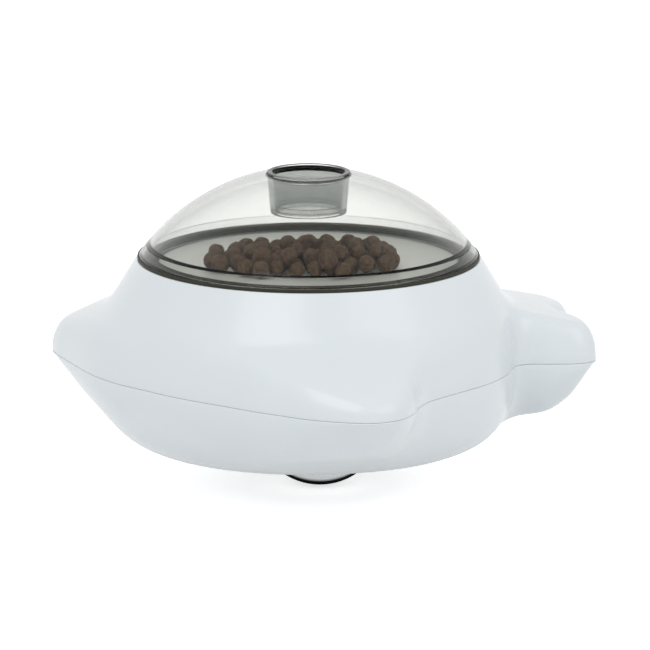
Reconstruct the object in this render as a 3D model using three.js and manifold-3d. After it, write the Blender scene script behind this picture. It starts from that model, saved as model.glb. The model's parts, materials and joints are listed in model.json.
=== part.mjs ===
// A pet toy that throws treats. A lobed two-part body stands on a big roller ball. Under a smoked dome a tray holds
// the treats. Ball, plunger, rod and tray slide as one against a spring, so a push on the body makes the treats hop,
// and they leave through the tube in the top of the dome, which is also where they are filled in.
//
// Millimetres, +Z up, nose towards -X and tail towards +X. The body group is modelled about the dome's axis with
// z = 0 on the seam between the shells, and is then placed so that the ball's lowest point is at z = 0.
import * as THREE from "three";
import { mergeVertices } from "three/addons/utils/BufferGeometryUtils.js";
import Module from "manifold-3d";

const wasm = await Module();
wasm.setup();

// Clearances and walls
const GAP = 0.3; // between two pieces that seat on each other
const SLIDE_GAP = 0.5; // round a piece that slides
const OVERRUN = 1; // how far a cutter runs past what it cuts
const SHELL_WALL = 2.2;

// Round part of the body: a sphere above the seam, a drafted wall with a rounded foot below it
const BODY_RADIUS = 95.3;
const BODY_CENTRE_DROP = 6.1; // sphere centre below the seam
const BOTTOM_DEPTH = 37.5; // flat underside below the seam
const BOTTOM_FILLET = 27;
const WALL_DRAFT = 7; // degrees from upright

// Limbs: how far each one reaches from the dome's axis, and how high and deep it is
const NOSE_REACH = 120.4;
const FRONT_FIN_REACH = 131.4;
const BACK_FIN_REACH = 114;
const TAIL_REACH = 131.8;
const TAIL_TOP = 16; // height of the top at the tip
const NOSE_TOP = 13;
const FRONT_FIN_TOP = 8;
const BACK_FIN_TOP = 8;
const LIMB_ROOT_TOP = 24; // height of the same top where it meets the round body
const LIMB_TOP_EDGE = 8; // width over which the top rounds off
const LIMB_KEEL = 27; // depth of the underside where it meets the round body
const TAIL_KEEL_RUN = 27; // length over which the underside rises to the tip
const NOSE_KEEL_RUN = 40;
const FRONT_FIN_KEEL_RUN = 40;
const BACK_FIN_KEEL_RUN = 40;
const LIMB_KEEL_EDGE = 16; // width over which it rounds off at the sides
const LIMB_FILLET = 18; // softness of the inner corner between limb and body
const KEEL_FILLET = 12; // the same below the seam
const TOP_ROUNDNESS = 2.2; // exponent of the rounded top edge
const KEEL_ROUNDNESS = 1.4; // exponent of the underside along the limb
const KEEL_EDGE_ROUNDNESS = 1.8; // and across it

// Ledge in the upper shell, gasket, dome and the dome's foot ring
const LEDGE_WIDTH = 7.4; // inwards from the rim
const LEDGE_THICKNESS = 2.4;
const GASKET_HEIGHT = 1;
const GASKET_INSET = 0.5; // gasket edge inside the rim
const GASKET_LIP_WALL = 0.8; // lip that hangs inside the ledge
const GASKET_LIP_DROP = 1.2; // below the rim
const DOME_RING_HEIGHT = 4.2;
const DOME_WALL = 2.5;

// Filler tube in the top of the dome, with the narrow ring at its lower end
const TUBE_TOP_RADIUS = 18.8;
const TUBE_END_RADIUS = 17.3;
const TUBE_WALL = 2.2;
const TUBE_LENGTH = 18.4;
const TUBE_LIP = 0.9; // rounded lip above the dome's hole
const END_RING_BORE = 14; // radius
const END_RING_PLATE = 1.4;
const END_RING_COLLAR = 2.4; // height of the collar that stands in the tube

// Roller ball, the cup that holds it, and the bearing between them
const ROLLER_RADIUS = 30.3;
const ROLLER_DROP = 27.4; // ball centre below the seam
const ROLLER_OFFSET = 5.1; // ball axis towards the tail from the dome's axis
const BEARING_BALL_RADIUS = 2.4;
const BEARING_BALLS = 8;
const BEARING_CLEARANCE = 0.5; // between the bearing balls and the cup
const BEARING_TILT = 42; // degrees from straight up, seen from the ball's centre
const CAGE_HALF_ANGLE = 11; // degrees
const CAGE_CLEARANCE = 0.7; // between the cage and the ball, and the cage and the cup
const CUP_WALL = 2.5;
const CUP_SKIRT = 16.8; // cup mouth below the ball's centre
const CUP_FLANGE = 2.6; // how far the stop flange stands out from the cup
const CUP_FLANGE_HEIGHT = 2.4;
const RETAINER_RISE = 4; // top of the retainer ring below the ball's centre
const ROLLER_CLEARANCE = 0.5; // between ball and retainer ring

// Rod, spring and guide
const TRAVEL = 6; // stroke of ball, plunger and tray
const ROD_RADIUS = 4;
const ROD_SOCKET_DEPTH = 4;
const CUP_BOSS_RADIUS = 8;
const CUP_BOSS_HEIGHT = 5;
const SPRING_RADIUS = 12; // to the middle of the wire
const SPRING_WIRE_RADIUS = 0.8;
const SPRING_TURNS = 4;
const SPRING_SEAT_RADIUS = 15;
const SPRING_CLOSED_LENGTH = 10; // what is left of it at the end of the stroke
const SPRING_STEPS = 14; // per turn
const SPRING_SIDES = 5;
const BARREL_WALL = 2.2;
const BARREL_LUG_RADIUS = 4.2;
const BARREL_LUGS = 3;
const BARREL_LUG_ANGLE = 60; // degrees, first lug
const CAP_THICKNESS = 2.6;
const CAP_BUSH_RADIUS = 7;
const CAP_BUSH_HEIGHT = 3;

// Tray
const TRAY_WALL = 1.8;
const TRAY_CLEARANCE = 2.8; // between the tray and the ledge that it rises past
const TRAY_SLOPE_RUN = 20; // from the rim inwards to the flat floor
const TRAY_RIM_DROP = 1.6; // tray's rim below the shell's rim, where the dome begins
const TRAY_DEPTH = 3; // from its rim to its floor
const TRAY_BOSS_RADIUS = 7;
const TRAY_BOSS_HEIGHT = 8.2; // below the tray's floor

// Treats: a mound with its peak off the middle, and round chunks half sunk in it
const CHUNK_RADIUS = 4.7;
const CHUNK_PITCH = 10.6;
const CHUNK_SINK = 1.4; // how deep a chunk's middle lies under the mound's face
const HEAP_EDGE_HEIGHT = 4; // at the foot of the mound
const HEAP_HEIGHT = 14.5; // at its peak, above the tray's floor
const HEAP_LEFT_REACH = 44; // foot of the mound towards the nose, from the dome's axis
const HEAP_RIGHT_REACH = 41;
const HEAP_DEPTH_REACH = 32; // the same to the front and the back
const HEAP_PEAK_X = 18;
const HEAP_PEAK_Y = 8;
const HEAP_RINGS = 4;

// Screws
const SCREW_SHANK_RADIUS = 1.5;
const SCREW_HEAD_RADIUS = 3;
const SCREW_HEAD_HEIGHT = 2;
const SHELL_SCREW_LENGTH = 42; // below the head
const TRAY_SCREW_LENGTH = 18;
const SHORT_SCREW_LENGTH = 10;
const POST_RADIUS = 4.6;
const POST_INSET = 2.4; // shell screws inside the rim's radius
const POST_FLOOR = 4; // material between a screw head and the post's core
const SHELL_SCREW_ANGLES = [50, 130, 227, 322]; // degrees

// Mesh fineness
const SAMPLES_PER_POINT = 2;
const RELAX_RINGS = 20;
const RELAX_PASSES = 150;
const ANGLE_PASSES = 60;
const LATHE_SEGMENTS = 40;
const HIDDEN_SEGMENTS = 24;
const CUP_SEGMENTS = 32;
const ROD_SEGMENTS = 20;
const SMALL_SEGMENTS = 10;
const ROLLER_SEGMENTS = 32;
const ROLLER_RINGS = 17; // odd, so that the ball stands on the middle of a facet
const BEARING_BALL_SEGMENTS = 8;
const BEARING_BALL_RINGS = 6;

// Plan outline at the seam, anticlockwise from the tail: an angle in degrees, and how much of the limb's reach
// beyond the round body the outline takes there.
const TAIL_OUTLINE_SHARES = [
  [352, 0],
  [354.9, 0.12],
  [355.8, 0.48],
  [356.8, 0.8],
  [359, 0.955],
  [362, 1],
  [366.5, 0.95],
  [370.3, 0.82],
  [373.6, 0.7],
  [377, 0.82],
  [381, 0.95],
  [385.5, 1],
  [390, 0.93],
  [393.5, 0.7],
  [396, 0.36],
  [400, 0.09],
  [407, 0],
];
const BACK_FIN_OUTLINE_SHARES = [
  [418, 0],
  [428, 0.05],
  [434, 0.3],
  [439, 0.75],
  [444, 0.98],
  [450, 0.97],
  [458, 0.7],
  [468, 0.36],
  [480, 0.14],
  [494, 0.04],
];
const NOSE_OUTLINE_SHARES = [
  [506, 0.08],
  [515, 0.4],
  [522, 0.82],
  [528, 1],
  [533, 0.86],
  [538.5, 0.66],
  [545, 0.49],
  [553, 0.36],
  [562, 0.25],
  [571, 0.15],
  [580, 0.06],
];
const FRONT_FIN_OUTLINE_SHARES = [
  [590, 0.05],
  [600, 0.1],
  [609, 0.19],
  [617, 0.35],
  [624, 0.52],
  [630, 0.71],
  [636, 0.87],
  [641, 0.98],
  [645, 0.99],
  [649, 0.9],
  [653, 0.68],
  [657, 0.4],
  [662, 0.18],
  [669, 0.06],
  [678, 0],
  [690, 0],
  [701, 0],
];

// Derived sizes
const seamRadius = sphereReach(BODY_RADIUS, 0);
const rollerFacet = Math.cos(Math.PI / ROLLER_SEGMENTS) * Math.cos(Math.PI / (2 * ROLLER_RINGS));
const seamHeight = ROLLER_RADIUS * rollerFacet + ROLLER_DROP;
const bearingReach = ROLLER_RADIUS + GAP + BEARING_BALL_RADIUS;
const cupBore = bearingReach + BEARING_BALL_RADIUS + BEARING_CLEARANCE;
const cupRadius = cupBore + CUP_WALL;
const cupTop = cupRadius - ROLLER_DROP; // above the seam
const flangeRadius = cupRadius + CUP_FLANGE;
const flangeBottom = -BOTTOM_DEPTH + SHELL_WALL + GAP;
const rollerHoleRadius = cupRadius + SLIDE_GAP;
const barrelBore = flangeRadius + SLIDE_GAP;
const barrelRadius = barrelBore + BARREL_WALL;
const barrelBottom = flangeBottom;
const rodBottom = cupTop + CUP_BOSS_HEIGHT - ROD_SOCKET_DEPTH;
const springSeat = cupTop + GAP;
const springLength = SPRING_CLOSED_LENGTH + TRAVEL;
const capBottom = springSeat + springLength + GAP;
const capTop = capBottom + CAP_THICKNESS;
const barrelTop = capBottom - GAP;
const lugReach = barrelRadius + BARREL_LUG_RADIUS - BARREL_WALL;
const trayBossBottom = capTop + CAP_BUSH_HEIGHT + GAP;
const trayUnderside = trayBossBottom + TRAY_BOSS_HEIGHT;
const trayFloorHeight = trayUnderside + TRAY_WALL;
const trayRimHeight = trayFloorHeight + TRAY_DEPTH;
const rimHeight = trayRimHeight + TRAY_RIM_DROP;
const rimRadius = sphereReach(BODY_RADIUS, rimHeight);
const ledgeInnerRadius = rimRadius - LEDGE_WIDTH;
const trayRimRadius = ledgeInnerRadius - TRAY_CLEARANCE;
const trayFloorRadius = trayRimRadius - TRAY_SLOPE_RUN;
const postReach = rimRadius - POST_INSET;
const gasketTop = rimHeight + GAP + GASKET_HEIGHT;
const ringBottom = gasketTop + GAP;
const ringTop = ringBottom + DOME_RING_HEIGHT;
const domeBottom = ringTop + GAP;
const domeHoleRadius = TUBE_TOP_RADIUS + GAP;
const tubeTop = sphereHeight(BODY_RADIUS, TUBE_TOP_RADIUS) + TUBE_LIP;
const endRingBottom = tubeTop - TUBE_LIP - TUBE_LENGTH;
const tubeBottom = endRingBottom + END_RING_PLATE + GAP;

// Each limb, up to the angle in degrees where the next one takes over
const LIMBS = [
  { reach: TAIL_REACH, top: TAIL_TOP, keelRun: TAIL_KEEL_RUN, shares: TAIL_OUTLINE_SHARES },
  { reach: BACK_FIN_REACH, top: BACK_FIN_TOP, keelRun: BACK_FIN_KEEL_RUN, shares: BACK_FIN_OUTLINE_SHARES },
  { reach: NOSE_REACH, top: NOSE_TOP, keelRun: NOSE_KEEL_RUN, shares: NOSE_OUTLINE_SHARES },
  { reach: FRONT_FIN_REACH, top: FRONT_FIN_TOP, keelRun: FRONT_FIN_KEEL_RUN, shares: FRONT_FIN_OUTLINE_SHARES },
].map((limb, i, all) => {
  const nextStart = i < all.length - 1 ? all[i + 1].shares[0][0] : all[0].shares[0][0] + 360;
  return { ...limb, end: (limb.shares.at(-1)[0] + nextStart) / 2 };
});

const MATERIALS = {
  shell: { color: 0xe2e8ea, roughness: 0.22, metalness: 0 },
  smoked: { color: 0x6d716c, roughness: 0.05, metalness: 0, transparent: true, opacity: 0.35 },
  rubber: { color: 0x282a25, roughness: 0.5, metalness: 0 },
  tray: { color: 0xcfd3cb, roughness: 0.35, metalness: 0 },
  steel: { color: 0xd4d8db, roughness: 0.06, metalness: 1 },
  plastic: { color: 0xb9bec1, roughness: 0.5, metalness: 0 },
  treat: { color: 0x5c4a3f, roughness: 0.9, metalness: 0 },
};

function material(slot) {
  return new THREE.MeshStandardMaterial({ name: slot, ...MATERIALS[slot] });
}

function degrees(angle) {
  return THREE.MathUtils.degToRad(angle);
}

// Height above the seam of a sphere about the body's centre, at a distance from the dome's axis
function sphereHeight(radius, reach) {
  return Math.sqrt(Math.max(radius * radius - reach * reach, 0)) - BODY_CENTRE_DROP;
}

// Distance from the dome's axis of the same sphere, at a height above the seam
function sphereReach(radius, height) {
  return Math.sqrt(radius * radius - (height + BODY_CENTRE_DROP) ** 2);
}

// Drops what isn't a position, welds the corners and leaves out faces that have shrunk to a line.
function welded(geometry) {
  const bare = geometry.clone();
  Object.keys(bare.attributes).forEach((name) => name !== "position" && bare.deleteAttribute(name));
  const merged = mergeVertices(bare, 1e-4);
  const corners = Array.from(merged.index.array);
  const kept = [];
  for (let i = 0; i < corners.length; i += 3) {
    const [a, b, c] = corners.slice(i, i + 3);
    if (a !== b && b !== c && c !== a) kept.push(a, b, c);
  }
  merged.setIndex(kept);
  return merged;
}

function toSolid(geometry) {
  const closed = welded(geometry);
  const vertProperties = new Float32Array(closed.attributes.position.array);
  const triVerts = new Uint32Array(closed.index.array);
  const solid = new wasm.Manifold(new wasm.Mesh({ numProp: 3, vertProperties, triVerts }));
  if (solid.volume() > 0) return solid;
  for (let i = 0; i < triVerts.length; i += 3) {
    [triVerts[i], triVerts[i + 1]] = [triVerts[i + 1], triVerts[i]];
  }
  return new wasm.Manifold(new wasm.Mesh({ numProp: 3, vertProperties, triVerts }));
}

function toGeometry(solid) {
  const { vertProperties, triVerts } = solid.getMesh();
  const geometry = new THREE.BufferGeometry();
  geometry.setAttribute("position", new THREE.BufferAttribute(new Float32Array(vertProperties), 3));
  geometry.setIndex(new THREE.BufferAttribute(new Uint32Array(triVerts), 1));
  geometry.computeVertexNormals();
  return geometry;
}

function piece(name, solid, slot) {
  const mesh = new THREE.Mesh(toGeometry(solid), material(slot));
  mesh.name = name;
  return mesh;
}

// A ring or a round piece from its half section: points of [distance from the axis, height], in order
function turned(section, segments = LATHE_SEGMENTS) {
  const points = section.map(([reach, height]) => new THREE.Vector2(reach, height));
  const onAxis = section[0][0] === 0 && section.at(-1)[0] === 0;
  if (!onAxis) points.push(points[0].clone());
  return toSolid(new THREE.LatheGeometry(points, segments).rotateX(Math.PI / 2));
}

function upright(radius, bottom, top, segments = SMALL_SEGMENTS) {
  return turned([[0, bottom], [radius, bottom], [radius, top], [0, top]], segments);
}

function ball(radius, across, around) {
  return toSolid(new THREE.SphereGeometry(radius, across, around).rotateX(Math.PI / 2));
}

// Points on a circle's arc, for a half section: angles in degrees from straight up, towards larger distances
function arc(radius, from, to, steps, centreHeight = 0, centreReach = 0) {
  return Array.from({ length: steps + 1 }, (_, i) => {
    const angle = degrees(from + ((to - from) * i) / steps);
    return [centreReach + radius * Math.sin(angle), centreHeight + radius * Math.cos(angle)];
  });
}

// The closed outline at the seam, as plan points
function seamOutline() {
  const points = LIMBS.flatMap(({ reach, shares }) =>
    shares.map(([angle, share]) => {
      const distance = seamRadius + (reach - seamRadius) * share;
      return new THREE.Vector3(distance * Math.cos(degrees(angle)), distance * Math.sin(degrees(angle)), 0);
    }),
  );
  const curve = new THREE.CatmullRomCurve3(points, true, "centripetal");
  const count = points.length * SAMPLES_PER_POINT;
  return Array.from({ length: count }, (_, i) => curve.getPoint(i / count));
}

// Shortest way in plan from a point to the outline
function outlineDistance(outline, x, y) {
  let best = Infinity;
  outline.forEach((start, i) => {
    const end = outline[(i + 1) % outline.length];
    const [dx, dy] = [end.x - start.x, end.y - start.y];
    const along = ((x - start.x) * dx + (y - start.y) * dy) / (dx * dx + dy * dy);
    const near = Math.min(Math.max(along, 0), 1);
    best = Math.min(best, Math.hypot(x - start.x - dx * near, y - start.y - dy * near));
  });
  return best;
}

// A rounded edge: 0 on the outline, 1 from the given width inwards
function edgeProfile(distance, width, roundness) {
  const left = Math.max(1 - distance / width, 0);
  return (1 - left ** roundness) ** (1 / roundness);
}

// The larger of two heights, with the inner corner between them softened
function softMax(a, b, softness) {
  const share = Math.min(Math.max(0.5 + (0.5 * (a - b)) / softness, 0), 1);
  return b + (a - b) * share + softness * share * (1 - share);
}

// The limb that a direction in plan belongs to
function limbAt(x, y) {
  const start = LIMBS.at(-1).end - 360;
  const angle = THREE.MathUtils.radToDeg(Math.atan2(y, x));
  const counted = start + THREE.MathUtils.euclideanModulo(angle - start, 360);
  return LIMBS.find(({ end }) => counted < end) ?? LIMBS[0];
}

function upperHeight(outline, x, y) {
  const reach = Math.hypot(x, y);
  const limbHere = limbAt(x, y);
  const outward = Math.max(reach - seamRadius, 0) / (limbHere.reach - seamRadius);
  const top = LIMB_ROOT_TOP + (limbHere.top - LIMB_ROOT_TOP) * outward;
  const limb = top * edgeProfile(outlineDistance(outline, x, y), LIMB_TOP_EDGE, TOP_ROUNDNESS);
  return softMax(sphereHeight(BODY_RADIUS, reach), limb, LIMB_FILLET);
}

// Depth of the round body's wall and foot at a distance from the dome's axis
function roundDepth(reach) {
  const draft = degrees(WALL_DRAFT);
  const wall = (BOTTOM_DEPTH - BOTTOM_FILLET + BOTTOM_FILLET * Math.sin(draft)) / Math.cos(draft);
  const wallEnd = seamRadius - wall * Math.sin(draft);
  const filletCentre = wallEnd - BOTTOM_FILLET * Math.cos(draft);
  if (reach <= filletCentre) return BOTTOM_DEPTH;
  if (reach >= wallEnd) return (seamRadius - reach) / Math.tan(draft);
  return BOTTOM_DEPTH - BOTTOM_FILLET + Math.sqrt(BOTTOM_FILLET ** 2 - (reach - filletCentre) ** 2);
}

function lowerDepth(outline, x, y) {
  const reach = Math.hypot(x, y);
  const limb = limbAt(x, y);
  const along = edgeProfile(Math.max(limb.reach - reach, 0), limb.keelRun, KEEL_ROUNDNESS);
  const across = edgeProfile(outlineDistance(outline, x, y), LIMB_KEEL_EDGE, KEEL_EDGE_ROUNDNESS);
  const body = roundDepth(reach);
  return Math.min(softMax(body, LIMB_KEEL * along * across, KEEL_FILLET), BOTTOM_DEPTH);
}

// Moves one point of a ringed plan net to where the net's lines run smoothly and don't cross, the way the lines of
// a steady flow do. Around and across are the two directions of the net at that point.
function relaxPoint(net, ring, i, after, before) {
  const [outside, here, inside] = [net[ring - 1], net[ring], net[ring + 1]];
  const around = here[after].clone().sub(here[before]).divideScalar(2);
  const across = inside[i].clone().sub(outside[i]).divideScalar(2);
  const [alpha, gamma, beta] = [around.lengthSq(), across.lengthSq(), around.dot(across)];
  const twist = inside[after].clone().sub(inside[before]).sub(outside[after]).add(outside[before]);
  here[i] = new THREE.Vector3()
    .addScaledVector(outside[i], alpha)
    .addScaledVector(inside[i], alpha)
    .addScaledVector(here[after], gamma)
    .addScaledVector(here[before], gamma)
    .addScaledVector(twist, -beta / 2)
    .divideScalar(2 * (alpha + gamma));
}

// Plan points of the rings between the outline and a round hole, evened out so that the rings never cross
function planRings(outline, holeX, holeRadius, shares) {
  const count = outline.length;
  let angles = outline.map((p) => Math.atan2(p.y, p.x - holeX));
  angles.forEach((_, i) => {
    while (i > 0 && angles[i] < angles[i - 1] - Math.PI) angles[i] += 2 * Math.PI;
  });
  for (let pass = 0; pass < ANGLE_PASSES; pass++) {
    angles = angles.map((angle, i) => {
      const before = i > 0 ? angles[i - 1] : angles[count - 1] - 2 * Math.PI;
      const after = i < count - 1 ? angles[i + 1] : angles[0] + 2 * Math.PI;
      return (before + 2 * angle + after) / 4;
    });
  }
  const hole = angles.map(
    (angle) => new THREE.Vector3(holeX + holeRadius * Math.cos(angle), holeRadius * Math.sin(angle), 0),
  );
  const fine = Array.from({ length: RELAX_RINGS + 1 }, (_, ring) =>
    outline.map((p, i) => p.clone().lerp(hole[i], ring / RELAX_RINGS)),
  );
  for (let pass = 0; pass < RELAX_PASSES; pass++) {
    for (let ring = 1; ring < RELAX_RINGS; ring++) {
      for (let i = 0; i < count; i++) relaxPoint(fine, ring, i, (i + 1) % count, (i + count - 1) % count);
    }
  }
  return shares.map((share) => {
    const at = share * RELAX_RINGS;
    const low = Math.min(Math.floor(at), RELAX_RINGS - 1);
    return outline.map((_, i) => fine[low][i].clone().lerp(fine[low + 1][i], at - low));
  });
}

// How far in from the outline each ring of a shell lies, as shares of the way to its hole
const UPPER_RING_SHARES = [0, 0.03, 0.09, 0.18, 0.3, 0.46, 0.7, 1];
const LOWER_RING_SHARES = [0, 0.03, 0.08, 0.15, 0.23, 0.32, 0.45, 0.7, 1];

// The outer skin of a shell: side is 1 for the upper shell and -1 for the lower one
function skin(outline, side) {
  const upper = side > 0;
  const rings = upper
    ? planRings(outline, 0, rimRadius, UPPER_RING_SHARES)
    : planRings(outline, ROLLER_OFFSET, rollerHoleRadius, LOWER_RING_SHARES);
  rings.forEach((ring, index) =>
    ring.forEach((p) => {
      const height = upper ? upperHeight(outline, p.x, p.y) : -lowerDepth(outline, p.x, p.y);
      p.z = index === 0 ? (side * GAP) / 2 : height;
    }),
  );
  return rings;
}

// The same skin moved inwards by a wall. On the seam it moves level, and at the hole it keeps its distance.
function inset(rings, side, wall) {
  const count = rings[0].length;
  return rings.map((ring, index) => {
    const normals = ring.map((_, i) => {
      const round = ring[(i + 1) % count].clone().sub(ring[(i + count - 1) % count]);
      const inwards = rings[Math.min(index + 1, rings.length - 1)][i]
        .clone()
        .sub(rings[Math.max(index - 1, 0)][i]);
      if (index === 0) inwards.set(0, 0, side);
      return round.cross(inwards).normalize().multiplyScalar(side);
    });
    return ring.map((p, i) => {
      const evened = normals[i].clone().add(normals[(i + 1) % count]).add(normals[(i + count - 1) % count]);
      return p.clone().addScaledVector(evened.normalize(), -wall);
    });
  });
}

// The hidden inner side of a shell needs only every other ring near the seam.
function sparse(rings) {
  return rings.filter((_, i) => i % 2 === 0 || i > rings.length - 3);
}

// A closed band through rings of points, the last ring joined to the first
function band(rings) {
  const count = rings[0].length;
  const corners = [];
  rings.forEach((_, ring) => {
    const next = (ring + 1) % rings.length;
    for (let i = 0; i < count; i++) {
      const j = (i + 1) % count;
      corners.push(ring * count + i, ring * count + j, next * count + j);
      corners.push(ring * count + i, next * count + j, next * count + i);
    }
  });
  const geometry = new THREE.BufferGeometry().setFromPoints(rings.flat());
  return toSolid(geometry.setIndex(corners));
}

// A solid inside the same rings, closed by a flat fan at each end
function filled(rings) {
  const centre = (ring) => {
    const middle = ring.reduce((sum, p) => sum.add(p), new THREE.Vector3()).divideScalar(ring.length);
    return ring.map(() => new THREE.Vector3(0, 0, middle.z));
  };
  return band([centre(rings[0]), ...rings, centre(rings.at(-1))]);
}

function around(solid, count, reach, firstAngle = 0, centreX = 0) {
  return Array.from({ length: count }, (_, i) => {
    const angle = degrees(firstAngle) + (2 * Math.PI * i) / count;
    return solid.translate([centreX + reach * Math.cos(angle), reach * Math.sin(angle), 0]);
  });
}

function shellScrewPlaces() {
  return SHELL_SCREW_ANGLES.map((angle) => [
    postReach * Math.cos(degrees(angle)),
    postReach * Math.sin(degrees(angle)),
    0,
  ]);
}

// A pan-head screw that points up from its seat
function screw(seat, length) {
  return turned(
    [
      [0, seat - SCREW_HEAD_HEIGHT],
      [SCREW_HEAD_RADIUS, seat - SCREW_HEAD_HEIGHT],
      [SCREW_HEAD_RADIUS, seat],
      [SCREW_SHANK_RADIUS, seat],
      [SCREW_SHANK_RADIUS, seat + length],
      [0, seat + length],
    ],
    SMALL_SEGMENTS,
  );
}

// The hole that a screw from below needs: a counterbore under its seat and a clear bore above it
function screwHole(seat, bottom, top) {
  const head = upright(SCREW_HEAD_RADIUS + GAP, bottom, seat + GAP);
  return head.add(upright(SCREW_SHANK_RADIUS + GAP, bottom, top));
}

const shellScrewSeat = -BOTTOM_DEPTH + POST_FLOOR + SCREW_HEAD_HEIGHT;
const barrelScrewSeat = shellScrewSeat;
const barrelPostTop = barrelScrewSeat + POST_FLOOR;

function upperShell(outline) {
  const outer = skin(outline, 1);
  const inner = sparse(inset(outer, 1, SHELL_WALL));
  const flat = (radius, height) =>
    outer.at(-1).map((p) => new THREE.Vector3(p.x, p.y, 0).setLength(radius).setZ(height));
  const ledge = [flat(ledgeInnerRadius, rimHeight), flat(ledgeInnerRadius, rimHeight - LEDGE_THICKNESS)];
  let shell = band([...outer, ...ledge, ...inner.reverse()]);
  const room = filled(inset(outer, 1, SHELL_WALL / 2));
  const post = upright(POST_RADIUS, GAP / 2, rimHeight - LEDGE_THICKNESS / 2);
  const bore = upright(SCREW_SHANK_RADIUS + GAP, -OVERRUN, shellScrewSeat + SHELL_SCREW_LENGTH + GAP);
  shellScrewPlaces().forEach((place) => {
    shell = shell.add(post.translate(place).intersect(room)).subtract(bore.translate(place));
  });
  return shell;
}

function lowerShell(outline) {
  const outer = skin(outline, -1);
  const inner = sparse(inset(outer, -1, SHELL_WALL));
  let shell = band([...outer, ...inner.reverse()]);
  const room = filled(inset(outer, -1, SHELL_WALL / 2));
  const post = upright(POST_RADIUS, -BOTTOM_DEPTH - OVERRUN, -GAP / 2);
  const hole = screwHole(shellScrewSeat, -BOTTOM_DEPTH - OVERRUN, OVERRUN);
  shellScrewPlaces().forEach((place) => {
    shell = shell.add(post.translate(place).intersect(room)).subtract(hole.translate(place));
  });
  const barrelPost = upright(BARREL_LUG_RADIUS, -BOTTOM_DEPTH - OVERRUN, barrelPostTop);
  const barrelHole = screwHole(barrelScrewSeat, -BOTTOM_DEPTH - OVERRUN, barrelPostTop + OVERRUN);
  around(barrelPost, BARREL_LUGS, lugReach, BARREL_LUG_ANGLE, ROLLER_OFFSET).forEach((solid) => {
    shell = shell.add(solid.intersect(room));
  });
  around(barrelHole, BARREL_LUGS, lugReach, BARREL_LUG_ANGLE, ROLLER_OFFSET).forEach((solid) => {
    shell = shell.subtract(solid);
  });
  return shell;
}

function gasket() {
  const outer = rimRadius - GASKET_INSET;
  const lipOuter = ledgeInnerRadius - GAP;
  return turned([
    [lipOuter - GASKET_LIP_WALL, rimHeight - GASKET_LIP_DROP],
    [lipOuter, rimHeight - GASKET_LIP_DROP],
    [lipOuter, rimHeight + GAP],
    [outer, rimHeight + GAP],
    [outer, gasketTop],
    [lipOuter - GASKET_LIP_WALL, gasketTop],
  ]);
}

function domeRing() {
  const outer = (height) => sphereReach(BODY_RADIUS, height);
  const middle = (ringBottom + ringTop) / 2;
  return turned([
    [outer(ringBottom) - DOME_WALL, ringBottom],
    [outer(ringBottom), ringBottom],
    [outer(middle), middle],
    [outer(ringTop), ringTop],
    [outer(ringTop) - DOME_WALL, ringTop],
    [outer(middle) - DOME_WALL, middle],
  ]);
}

function dome() {
  const inner = BODY_RADIUS - DOME_WALL;
  const lowAngle = (radius, reach) => THREE.MathUtils.radToDeg(Math.asin(reach / radius));
  const foot = sphereReach(BODY_RADIUS, domeBottom);
  const innerFoot = sphereReach(inner, domeBottom);
  const outerArc = arc(BODY_RADIUS, lowAngle(BODY_RADIUS, domeHoleRadius), lowAngle(BODY_RADIUS, foot), 7);
  const innerArc = arc(inner, lowAngle(inner, innerFoot), lowAngle(inner, domeHoleRadius), 6);
  return turned([...outerArc, ...innerArc].map(([reach, height]) => [reach, height - BODY_CENTRE_DROP]));
}

function fillerTube() {
  const outer = (height) => {
    const share = (tubeTop - height) / (tubeTop - endRingBottom);
    return TUBE_TOP_RADIUS + (TUBE_END_RADIUS - TUBE_TOP_RADIUS) * share;
  };
  const lipMiddle = outer(tubeTop) - TUBE_WALL / 2;
  const lip = arc(TUBE_WALL / 2, 90, -90, 4, tubeTop - TUBE_WALL / 2, lipMiddle);
  return turned([[outer(tubeBottom) - TUBE_WALL, tubeBottom], [outer(tubeBottom), tubeBottom], ...lip]);
}

function tubeEndRing() {
  const collar = TUBE_END_RADIUS - TUBE_WALL - GAP;
  return turned([
    [END_RING_BORE, endRingBottom],
    [TUBE_END_RADIUS, endRingBottom],
    [TUBE_END_RADIUS, endRingBottom + END_RING_PLATE],
    [collar, endRingBottom + END_RING_PLATE],
    [collar, endRingBottom + END_RING_PLATE + END_RING_COLLAR],
    [END_RING_BORE, endRingBottom + END_RING_PLATE + END_RING_COLLAR],
  ]);
}

// The pieces below are turned about the ball's own axis, and their heights are measured from the seam.
function rollerBall() {
  const sphere = new THREE.SphereGeometry(ROLLER_RADIUS, ROLLER_SEGMENTS, ROLLER_RINGS);
  sphere.rotateY(Math.PI / ROLLER_SEGMENTS).rotateZ(Math.PI / 2);
  return toSolid(sphere).translate([0, 0, -ROLLER_DROP]);
}

function bearingBall() {
  const tilt = degrees(BEARING_TILT);
  return ball(BEARING_BALL_RADIUS, BEARING_BALL_SEGMENTS, BEARING_BALL_RINGS).translate([
    bearingReach * Math.sin(tilt),
    0,
    bearingReach * Math.cos(tilt) - ROLLER_DROP,
  ]);
}

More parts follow.
